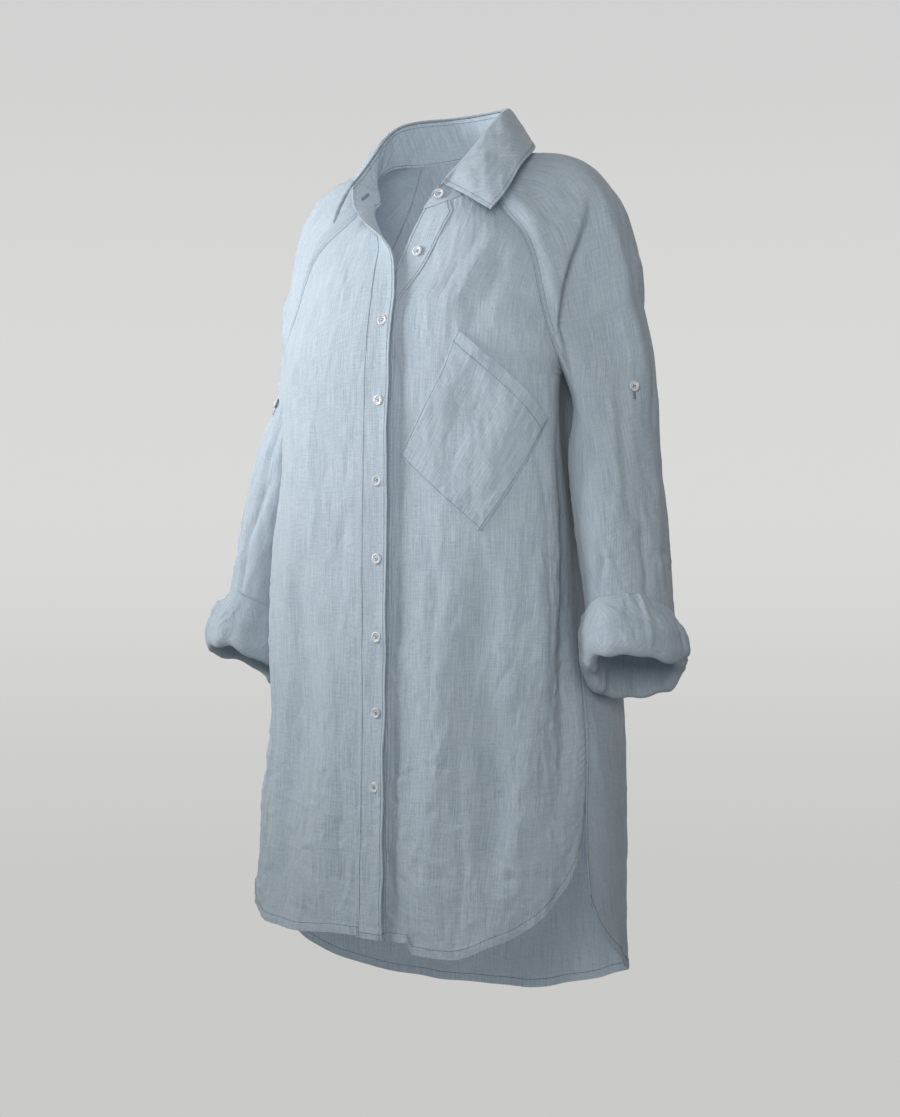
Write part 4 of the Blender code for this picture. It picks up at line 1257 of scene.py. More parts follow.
def new_tree(name: str, inputs: dict[str, Socket]) -> tuple[Wiring, dict, NodeSocket]:
    """A geometry tree with named inputs and one geometry output.

    Args:
        name: The tree's name.
        inputs: The kind of each of its inputs.

    Returns:
        Its wiring, its inputs by name and the socket that its result feeds.
    """
    tree = bpy.data.node_groups.new(name, "GeometryNodeTree")
    for label, kind in inputs.items():
        tree.interface.new_socket(label, in_out="INPUT", socket_type=kind.value)
    tree.interface.new_socket("Geometry", in_out="OUTPUT", socket_type=Socket.GEOMETRY.value)
    wiring = Wiring(tree)
    start, end = wiring.add("NodeGroupInput"), wiring.add("NodeGroupOutput")
    return wiring, start.outputs, end.inputs["Geometry"]


def run_tree(obj: Object, tree: NodeTree, values: dict[str, Value]) -> None:
    """Runs a tree on an object and keeps the result as its mesh.

    Args:
        obj: The object whose mesh goes in.
        tree: The tree.
        values: The tree's named inputs.
    """
    modifier = obj.modifiers.new("Make", "NODES")
    modifier.node_group = tree
    for item in tree.interface.items_tree:
        if item.item_type == "SOCKET" and item.in_out == "INPUT" and item.name in values:
            modifier[item.identifier] = values[item.name]
    bpy.context.view_layer.update()
    plain_mesh(obj)


def way_of_point(wiring: Wiring, label: str) -> NodeSocket:
    """The direction that points carry under a label."""
    way = wiring.add("GeometryNodeInputNamedAttribute", {"Name": label}, data_type="FLOAT_VECTOR")
    return way.outputs["Attribute"]


def laid_out(
    wiring: Wiring,
    points: NodeSocket,
    model: NodeSocket,
    rotation: NodeSocket,
    material: NodeSocket,
) -> NodeSocket:
    """A model set on every point, made real and dressed.

    Args:
        wiring: The tree that does it.
        points: The points.
        model: What is set on them.
        rotation: How it is turned.
        material: Its finish.

    Returns:
        The models' geometry.
    """
    places = {"Points": points, "Instance": model, "Rotation": rotation}
    copies = wiring.add("GeometryNodeInstanceOnPoints", places).outputs["Instances"]
    solid = wiring.add("GeometryNodeRealizeInstances", {"Geometry": copies}).outputs["Geometry"]
    dress = wiring.add("GeometryNodeSetMaterial", {"Geometry": solid, "Material": material})
    return dress.outputs["Geometry"]


def stitch_tree() -> NodeTree:
    """The tree that lays one short bar of thread at every step of a line.

    Returns:
        The tree.
    """
    inputs = {
        "Geometry": Socket.GEOMETRY,
        "Pitch": Socket.LENGTH,
        "Length": Socket.LENGTH,
        "Thickness": Socket.LENGTH,
        "Thread": Socket.MATERIAL,
    }
    wiring, start, result = new_tree("stitch_run", inputs)
    line = wiring.add("GeometryNodeMeshToCurve", {"Mesh": start["Geometry"]}).outputs["Curve"]
    steps = {"Curve": line, "Length": start["Pitch"]}
    points = wiring.add("GeometryNodeResampleCurve", steps, mode="LENGTH").outputs["Curve"]
    sizes = {"Vertices": 4, "Radius": start["Thickness"], "Depth": start["Length"]}
    bar = wiring.add("GeometryNodeMeshCylinder", sizes).outputs["Mesh"]
    lay = {"Vector": way_of_point(wiring, "lay")}
    turn = wiring.add("FunctionNodeAlignRotationToVector", lay, axis="Z").outputs["Rotation"]
    wiring.feed(result, laid_out(wiring, points, bar, turn, start["Thread"]))
    return wiring.tree


@dataclass
class Sewing:
    """Lines of stitches on the cloth, gathered until they are made into one piece."""

    pitch: float = 0.0027
    length: float = 0.0023
    thickness: float = 0.00026
    runs: list[tuple[Array, Array]] = field(default_factory=list)

    def run(self, line: Array, lay: Array | None = None) -> None:
        """Adds a line.

        Args:
            line: Its points, in order.
            lay: The way each stitch points, or None for along the line.
        """
        ahead = unit(np.gradient(line, axis=0)) if lay is None else lay
        self.runs.append((line, ahead))

    def run_down_sides(self, sheet: Sheet, inset: float) -> None:
        """Adds a line down each side of a sheet."""
        for from_end in (False, True):
            self.run(sheet.line_down(inset, from_end=from_end))

    def build(self, name: str, tree: NodeTree, thread: Material) -> Object:
        """The stitches as one piece.

        Args:
            name: The piece's name.
            tree: The tree that lays the stitches.
            thread: Their finish.

        Returns:
            The piece.
        """
        points, edges, ways = [], [], []
        for line, ahead in self.runs:
            edges += [(len(points) + i, len(points) + i + 1) for i in range(len(line) - 1)]
            points += line.tolist()
            ways += ahead.tolist()
        obj = new_object(name, points, edges, [])
        set_ways(obj, "lay", ways)
        sizes = {"Pitch": self.pitch, "Length": self.length, "Thickness": self.thickness, "Thread": thread}
        run_tree(obj, tree, sizes)
        return obj


def buttonhole(middle: Array, ahead: Array, outward: Array, half: float) -> tuple[Array, Array]:
    """The closed line of a worked buttonhole and the lay of its stitches.

    Args:
        middle: Its middle, on the cloth.
        ahead: The way it runs.
        outward: The cloth's normal there.
        half: Half its length.

    Returns:
        The points of the line and the way each stitch points.
    """
    beside = unit(np.cross(outward, ahead))
    turns = np.linspace(0.0, 2.0 * math.pi, 41)[:, None]
    reach = np.cos(turns) * half
    sideways = np.clip(np.sin(turns) * 3.0, -1.0, 1.0) * 0.0009
    line = middle + reach * ahead + sideways * beside + outward * 0.0003
    return line, unit(beside + 0.0 * turns)


@dataclass
class ButtonSet:
    """Four-hole pearl buttons sewn on at points of the cloth."""

    radius: float = BUTTON_RADIUS
    thick: float = BUTTON_THICK
    sides: int = 40
    hole: float = 0.00075
    spread: float = 0.00135
    # The outline by share of the radius and of the thickness, from the dished face over the rim.
    outline: tuple[tuple[float, float], ...] = (
        (0.0, 0.58),
        (0.50, 0.58),
        (0.60, 0.62),
        (0.68, 0.86),
        (0.76, 1.0),
        (0.86, 0.99),
        (0.95, 0.86),
        (1.0, 0.62),
        (0.96, 0.34),
        (0.78, 0.06),
        (0.70, 0.0),
        (0.0, 0.0),
    )
    spots: list[tuple[Array, Array]] = field(default_factory=list)

    def sew(self, point: Array, outward: Array) -> None:
        """Adds a button at a point, facing outward."""
        self.spots.append((np.asarray(point, float), np.asarray(outward, float)))

    def pins(self, radius: float, foot: float, top: float) -> tuple[list, list]:
        """Points and faces of four upright pins where the holes are.

        Args:
            radius: Each pin's radius.
            foot: The height of its foot.
            top: The height of its top.

        Returns:
            The points and the faces.
        """
        points, faces = [], []
        for corner in range(4):
            angle = math.radians(45.0 + 90.0 * corner)
            x, y = self.spread * math.cos(angle), self.spread * math.sin(angle)
            first = len(points)
            count = 12
            for z in (foot, top):
                for k in range(count):
                    turn = 2.0 * math.pi * k / count
                    points.append((x + radius * math.cos(turn), y + radius * math.sin(turn), z))
            for k in range(count):
                after = (k + 1) % count
                faces.append((first + k, first + after, first + count + after, first + count + k))
            faces.append(tuple(range(first + count - 1, first - 1, -1)))
            faces.append(tuple(range(first + count, first + 2 * count)))
        return points, faces

    def blank(self) -> Object:
        """One button on its back at the origin, facing +Z, with real holes.

        Returns:
            The button.
        """
        rim = [(x * self.radius, 0.0, z * self.thick) for x, z in self.outline]
        obj = new_object("button_blank", rim, [(i, i + 1) for i in range(len(rim) - 1)], [])
        turning = obj.modifiers.new("Turn", "SCREW")
        turning.steps = turning.render_steps = self.sides
        turning.use_merge_vertices = True
        turning.merge_threshold = 0.00002
        turning.use_smooth_shade = True
        points, faces = self.pins(self.hole, -0.001, self.thick + 0.001)
        cutter = new_object("button_pins", points, [], faces)
        cut = obj.modifiers.new("Holes", "BOOLEAN")
        cut.object = cutter
        bpy.context.view_layer.update()
        plain_mesh(obj)
        bpy.data.objects.remove(cutter)
        obj.data.materials.clear()
        obj.data.set_sharp_from_angle(angle=math.radians(35.0))
        return obj

    def cross(self) -> Object:
        """The thread through one button: two bars between holes, and four strands down them.

        Returns:
            The thread.
        """
        low, high = self.thick * 0.10, self.thick * 0.64
        points, faces = self.pins(0.00032, low, high)
        for side in (-1.0, 1.0):
            first = len(points)
            reach = self.spread * 0.7071
            ring = [(-0.00034, 0.0), (0.0, 0.00042), (0.00034, 0.0), (0.0, -0.00022)]
            for x in (-reach - 0.0003, -reach * 0.5, reach * 0.5, reach + 0.0003):
                rise = 0.00022 if abs(x) < reach else 0.0
                points += [(x, side * reach + y, high + rise + z) for y, z in ring]
            for step in range(3):
                for k in range(4):
                    a, b = first + step * 4 + k, first + step * 4 + (k + 1) % 4
                    faces.append((a, a + 4, b + 4, b))
            faces.append((first, first + 1, first + 2, first + 3))
            faces.append((first + 15, first + 14, first + 13, first + 12))
        return new_object("button_thread", points, [], faces)

    @staticmethod
    def tree() -> NodeTree:
        """The tree that sets a button and its thread on every point, facing as the point says.

        Returns:
            The tree.
        """
        inputs = {
            "Geometry": Socket.GEOMETRY,
            "Button": Socket.OBJECT,
            "Cross": Socket.OBJECT,
            "Pearl": Socket.MATERIAL,
            "Thread": Socket.MATERIAL,
        }
        wiring, start, result = new_tree("sewn_buttons", inputs)
        kind = "FunctionNodeAlignRotationToVector"
        facing = wiring.add(kind, {"Vector": way_of_point(wiring, "facing")}, axis="Z").outputs["Rotation"]
        lay = {"Rotation": facing, "Vector": way_of_point(wiring, "lay")}
        rotation = wiring.add(kind, lay, axis="X", pivot_axis="Z").outputs["Rotation"]
        join = wiring.add("GeometryNodeJoinGeometry")
        for source, finish in (("Button", "Pearl"), ("Cross", "Thread")):
            model = wiring.add("GeometryNodeObjectInfo", {"Object": start[source]}).outputs["Geometry"]
            dressed = laid_out(wiring, start["Geometry"], model, rotation, start[finish])
            wiring.feed(join.inputs["Geometry"], dressed)
        wiring.feed(result, join.outputs["Geometry"])
        return wiring.tree

    def build(self, name: str, pearl: Material, thread: Material) -> Object:
        """All buttons of the set as one piece.

        Args:
            name: The piece's name.
            pearl: The buttons' finish.
            thread: The thread's finish.

        Returns:
            The piece.
        """
        obj = new_object(name, [point.tolist() for point, _ in self.spots], [], [])
        draw = np.random.default_rng(5)
        facing = [outward for _, outward in self.spots]
        set_ways(obj, "facing", facing)
        set_ways(obj, "lay", [unit(np.cross(out, (draw.uniform(-0.5, 0.5), 0.2, 1.0))) for out in facing])
        blank, cross = self.blank(), self.cross()
        values = {"Button": blank, "Cross": cross, "Pearl": pearl, "Thread": thread}
        run_tree(obj, self.tree(), values)
        for made in (blank, cross):
            bpy.data.objects.remove(made)
        return obj


# ---------------------------------------------------------------- the shirt's pieces


class Side(Enum):
    """The wearer's sides, with the sign of their direction."""

    LEFT = 1.0
    RIGHT = -1.0

    @property
    def label(self) -> str:
        """The side's name in lower case, as the solids use it."""
        return self.name.lower()

    def mirrored(self, points: Array) -> Array:
        """Points worked out for the wearer's left, moved to this side."""
        return points * np.array([self.value, 1.0, 1.0])


@dataclass
class Bench:
    """What every piece is dressed with: the finishes, the stitch tree and the frame's hold."""

    linen: Material
    inside: Material
    thread: Material
    stitches: NodeTree

    def cloth(self, obj: Object, node: str, cut: tuple[float, float, float]) -> None:
        """Hands a cloth piece to the frame in place of its solid.

        Args:
            obj: The piece.
            node: The solid it stands for.
            cut: Its flat width, length and area. Not used.
        """
        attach(obj, "root")
        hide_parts(node)

    def sewn(self, sewing: Sewing, name: str) -> None:
        """Makes a set of stitch lines and hands it to the frame.

        Args:
            sewing: The lines.
            name: The piece's name.
        """
        obj = sewing.build(name, self.stitches, self.thread)
        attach(obj, "root")
        LOG.info("%s: %d lines", name, len(sewing.runs))

    def buttons(self, obj: Object, nodes: list[str]) -> None:
        """Hands a set of buttons to the frame in place of their solids.

        Args:
            obj: The piece.
            nodes: The solids it stands for.
        """
        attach(obj, "root")
        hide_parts(*nodes)
        LOG.info("%s: %d buttons", obj.name, len(nodes))


@dataclass
class Front:
    """One front with its band, from the neck seam to the curved hem."""

    side: Side
    hem: tuple
    neck: tuple[str, str]
    relief: Relief
    columns: int = 130
    band_columns: int = 16
    yoke_rows: int = 66
    body_rows: int = 120
    hem_rows: int = 84

    def edge(self, z: Array) -> Array:
        """How far past the centre front the free edge lies at a height."""
        return EDGES.at(z)[..., 0 if self.side is Side.LEFT else 1]

    def lap(self, across: Array, z: Array) -> Array:
        """How the lap lies: the left front sinks under the right, whose edge gapes between buttons.

        Args:
            across: Distances across from the centre front.
            z: Heights.

        Returns:
            How far the cloth stands out.
        """
        if self.side is Side.LEFT:
            under = smoothstep((0.075 - across) / 0.050) * smoothstep((-0.085 - z) / 0.045)
            behind = np.exp(-(((across - 0.017) / 0.011) ** 2)) * smoothstep((-0.125 - z) / 0.05)
            return -LAP_DEPTH * under - 0.0026 * behind * (1.0 + 0.35 * np.sin(z * 47.0))
        from_edge = across - self.edge(z)
        between = 0.5 - 0.5 * np.cos(2.0 * math.pi * (z - FRONT_BUTTON_HEIGHTS[0]) / BUTTON_PITCH)
        slack = 0.0024 + 0.0016 * between * smoothstep((-0.150 - z) / 0.05)
        slack = slack + 0.0012 * np.sin(z * 61.0) * np.sin(z * 23.0 + 1.0)
        turned = 0.0060 * smoothstep((z + 0.125) / 0.05)
        gape = slack * np.exp(-((from_edge / 0.007) ** 2))
        return gape + turned * np.exp(-((from_edge / 0.013) ** 2))

    def surface(self, across: Array, z: Array, height: Array) -> Array:
        """The outer face at a height above the body, as on the wearer's left."""
        lift = self.lap(across, z) + height
        return Body.point(across, z) + Body.normal(across, z) * np.asarray(lift)[..., None]

    def row_places(self, steps: Array, band: bool) -> tuple[Array, ...]:
        """Where the grid's points lie before the cloth is creased.

        Args:
            steps: Places across the panel or band, from 0 to 1.
            band: True for the band, False for the panel beside it.

        Returns:
            For every point its share across the front, its place across, its height, its shift to
            the seams and its share of the way up the yoke.
        """
        seam_widths = [float(SEAM_ACROSS["front"].at(s)[0]) for s in SEAM_SHARES]
        middle_z = ARMPIT_Z + (FRONT_MIDDLE_Z - ARMPIT_Z) * SEAM_SHARES
        widths = np.array(seam_widths) - EDGES.at(middle_z)[..., 0]
        widths[-1] = NECK_PLACES["left raglan"] - NECK_PLACES["left end"]
        hem_curve = Curve.of_table(self.hem, steady=True)
        dense = np.linspace(0.0, 1.0, 121)
        start_at, end_at = (NECK_PLACES[name] for name in self.neck)
        top_across, top_z, top_shift = self.yoke_row(dense, 1.0)
        top_points = Body.point(top_across, top_z) + top_shift
        neck = self.side.mirrored(NECK.at(start_at + (end_at - start_at) * dense))
        to_neck = Curve(dense, neck - top_points)
        rows = []
        for share in np.linspace(1.0, 0.0, self.yoke_rows, endpoint=False):
            row = self.shares_of(steps, float(np.interp(share, SEAM_SHARES, widths)), band)
            across, z, shift = self.yoke_row(row, share)
            shift = shift + smoothstep((share - 0.45) / 0.55) * to_neck.at(row)
            rows.append((row, across, z, shift, np.full_like(row, share)))
        levels = np.concatenate([np.zeros(self.body_rows), np.arange(1, self.hem_rows + 1) / self.hem_rows])
        body = np.linspace(ARMPIT_Z, HEM_START_Z, self.body_rows)
        tops = np.concatenate([body, np.full(self.hem_rows, HEM_START_Z)])
        for top, level in zip(tops, levels):
            width_z = top + (SLIT_TOP_Z - HEM_START_Z) * min(1.0, level * 5.0)
            row = self.shares_of(steps, float(Body.half_girth(width_z)[1]) + BAND_WIDTH / 2.0, band)
            foot = np.full_like(row, BAND_END_Z) if band else hem_curve.at(row)[..., 0]
            z = top + (foot - HEM_START_Z) * level
            edge = self.edge(z)
            across = edge + (Body.half_girth(z)[1] - edge) * row
            rows.append((row, across, z, np.zeros((len(row), 3)), np.zeros_like(row)))
        return tuple(np.array(column) for column in zip(*rows))

    def shares_of(self, steps: Array, width: float, band: bool) -> Array:
        """The shares of a row's width at which the panel's or the band's points lie.

        Args:
            steps: Places across the panel or band, from 0 to 1.
            width: The row's width.
            band: True for the band.

        Returns:
            One share for each place.
        """
        if band:
            return BAND_WIDTH / width * steps
        start = BAND_WIDTH / width
        return start + (1.0 - start) * steps

    def yoke_row(self, row: Array, share: float) -> tuple[Array, Array, Array]:
        """Places across, heights and the shift to the raglan seam for a row that meets the seam.

        Args:
            row: Shares across the front.
            share: The row's share of the way up the seam.

        Returns:
            The three, for each share across.
        """
        seam = RAGLANS["front"].at(share)
        seam_across = float(SEAM_ACROSS["front"].at(share)[0])
        middle_z = ARMPIT_Z + (FRONT_MIDDLE_Z - ARMPIT_Z) * share
        z = middle_z + (seam[2] - middle_z) * row**2
        edge = self.edge(z)
        shift = row[:, None] ** 3 * (seam - Body.point(seam_across, seam[2]))
        return edge + (seam_across - edge) * row, z, shift

    def sheet(self, band: bool) -> Sheet:
        """The creased panel, or the creased band at its edge.

        Args:
            band: True for the band.

        Returns:
            The sheet.
        """
        steps = np.linspace(0.0, 1.0, self.band_columns if band else self.columns)
        shares, across, z, shifts, yokes = self.row_places(steps, band)
        flat = Sheet(self.surface(across, z, np.zeros_like(z)) + shifts)
        down = flat.heights()
        to_neck, to_hem = down, down[-1:] - down
        to_side = (1.0 - shares) * 0.22
        to_edge = shares * 0.22
        height = self.relief.height(across, z)
        height = height * smoothstep(to_side / 0.016) * (0.15 + 0.85 * smoothstep(to_neck / 0.03))
        along = flat.widths()
        height += FRONT_SIDE_GATHERS.height(to_side, down) + FRONT_LOWER_EDGE.height(to_hem, along)
        if band:
            stitched = np.minimum(np.abs(to_edge - 0.0035), np.abs(to_edge - BAND_WIDTH + 0.003))
            height += 0.0007 + 0.0004 * smoothstep(stitched / 0.002)
            height += BAND_EDGE_GATHERS.height(to_edge, down)
        else:
            height += BAND_SEAM_GATHERS.height(to_edge - BAND_WIDTH, down)
            height += FRONT_NECK_GATHERS.height(to_neck, along)
            height -= SEAM_SINK * np.exp(-(((to_edge - BAND_WIDTH) / SEAM_REACH) ** 2))
        height -= seam_sink(yokes, z) * np.exp(-((to_side / SEAM_REACH) ** 2))
        outward = Body.normal(across, z)
        points = self.side.mirrored(flat.points + outward * height[..., None])
        if self.side is Side.LEFT:
            return Sheet(points, level=self.yoke_rows, plumb=0.0)
        return Sheet(points[:, ::-1], level=self.yoke_rows, plumb=1.0)

    def spot(self, across: float, z: float, lift: float = 0.0) -> tuple[Array, Array]:
        """A point of the creased front and its normal.

        Args:
            across: The distance across from the centre front.
            z: The height.
            lift: How far out the point lies.

        Returns:
            The point and the normal.
        """
        places = across + np.array([0.0, 0.004, 0.0]), z + np.array([0.0, 0.0, 0.004])
        height = self.relief.height(*places)
        here, beside, above = self.side.mirrored(self.surface(*places, height + lift))
        return here, unit(np.cross(beside - here, above - here)) * self.side.value

    def build(self, bench: Bench) -> tuple[Sheet, Sheet]:
        """Makes the front and its band with their seams, and returns their sheets.

        Args:
            bench: What it is dressed with.

        Returns:
            The panel's and the band's sheets.
        """
        panel, band = self.sheet(False), self.sheet(True)
        name = self.side.label
        for sheet, kind, shell in ((panel, "front_", SHELL), (band, "placket_", DOUBLE_SHELL)):
            obj = cloth_shell(kind + name + "_cloth", [sheet], shell, (bench.linen, bench.inside))
            bench.cloth(obj, kind + name, sheet.cut())
        right = self.side is Side.RIGHT
        sewing = Sewing()
        sewing.run(panel.line_down(SEAM_STITCH, from_end=not right))
        sewing.run(panel.line_across(HEM_STITCH))
        sewing.run(band.line_down(SEAM_STITCH, from_end=not right))
        sewing.run(band.line_down(BAND_INNER_STITCH, from_end=right))
        sewing.run(band.line_across(BAND_FOOT_STITCH))
        bench.sewn(sewing, "stitches_front_" + name)
        return panel, band


@dataclass
class Back:
    """The back, one piece from the neck seam to its longer tail."""

    relief: Relief
    columns: int = 190
    yoke_rows: int = 56
    body_rows: int = 84
    hem_rows: int = 56

    def surface(self, across: Array, z: Array) -> tuple[Array, Array]:
        """The body's surface and its normals at a distance across from the back's middle."""
        way = (Body.half_girth(z)[0] - np.abs(across)) * np.where(across < 0, -1.0, 1.0)
        return Body.point(way, z), Body.normal(way, z)

    def yoke_row(self, row: Array, share: float) -> tuple[Array, Array, Array]:
        """Places across, heights and the shift to the raglan seams for a row that meets them.

        Args:
            row: Shares across, from -1 to 1.
            share: The row's share of the way up the seams.

        Returns:
            The three, for each share across.
        """
        seam = RAGLANS["back"].at(share)
        seam_across = float(SEAM_ACROSS["back"].at(share)[0])
        reach, sign = np.abs(row), np.where(row < 0, -1.0, 1.0)
        middle_z = ARMPIT_Z + (BACK_MIDDLE_Z - ARMPIT_Z) * share
        z = middle_z + (seam[2] - middle_z) * reach**2
        gap = (seam - Body.point(seam_across, seam[2])) * reach[:, None] ** 3
        mirror = np.stack([sign, np.ones_like(sign), np.ones_like(sign)], -1)
        return (Body.half_girth(z)[0] - seam_across) * row, z, gap * mirror

    def sheet(self) -> Sheet:
        """The creased back.

        Returns:
            The sheet.
        """
        row = np.linspace(-1.0, 1.0, self.columns)
        start_at, end_at = NECK_PLACES["right back raglan"], NECK_PLACES["left back raglan"]
        top_across, top_z, top_shift = self.yoke_row(row, 1.0)
        neck = NECK.at(start_at + (end_at - start_at) * (row + 1.0) / 2.0)
        to_neck = neck - (self.surface(top_across, top_z)[0] + top_shift)
        rows = []
        for share in np.linspace(1.0, 0.0, self.yoke_rows, endpoint=False):
            across, z, shift = self.yoke_row(row, share)
            shift = shift + smoothstep((share - 0.45) / 0.55) * to_neck
            rows.append((across, z, shift, np.full_like(row, share)))
        foot = Curve.of_table(BACK_HEM, steady=True).at(row)[..., 0]
        levels = [np.full_like(row, z) for z in np.linspace(ARMPIT_Z, HEM_START_Z, self.body_rows)]
        for level in np.arange(1, self.hem_rows + 1) / self.hem_rows:
            levels.append(HEM_START_Z + (foot - HEM_START_Z) * level)
        for z in levels:
            half, side_across = Body.half_girth(z)
            rows.append(((half - side_across) * row, z, np.zeros((len(row), 3)), np.zeros_like(row)))
        across, z, shifts, yokes = (np.array(column) for column in zip(*rows))
        points, outward = self.surface(across, z)
        flat = Sheet(points + shifts)
        down, along = flat.heights(), flat.widths()
        to_side = (1.0 - np.abs(row)[None]) * along[:, -1:] / 2.0
        height = self.relief.height(across, z)
        height = height * smoothstep(to_side / 0.016) * (0.1 + 0.9 * smoothstep(down / 0.03))
        height += BACK_SIDE_GATHERS.height(to_side, down) + BACK_NECK_GATHERS.height(down, along)
        height -= seam_sink(yokes, z) * np.exp(-((to_side / SEAM_REACH) ** 2))
        height += BACK_LOWER_EDGE.height(down[-1:] - down, along)
        return Sheet((flat.points + outward * height[..., None])[:, ::-1], level=self.yoke_rows)

    def build(self, bench: Bench) -> Sheet:
        """Makes the back with its seams, and returns its sheet.

        Args:
            bench: What it is dressed with.

        Returns:
            The sheet.
        """
        sheet = self.sheet()
        obj = cloth_shell("back_cloth", [sheet], SHELL, (bench.linen, bench.inside))
        bench.cloth(obj, "back", sheet.cut())
        sewing = Sewing()
        sewing.run(sheet.line_across(HEM_STITCH))
        sewing.run(sheet.line_across(HEM_STITCH, lift=-SHELL - STITCH_LIFT))
        sewing.run_down_sides(sheet, SEAM_STITCH)
        sewing.run(sheet.line_across(SEAM_STITCH, from_top=True))
        bench.sewn(sewing, "stitches_back")
        return sheet


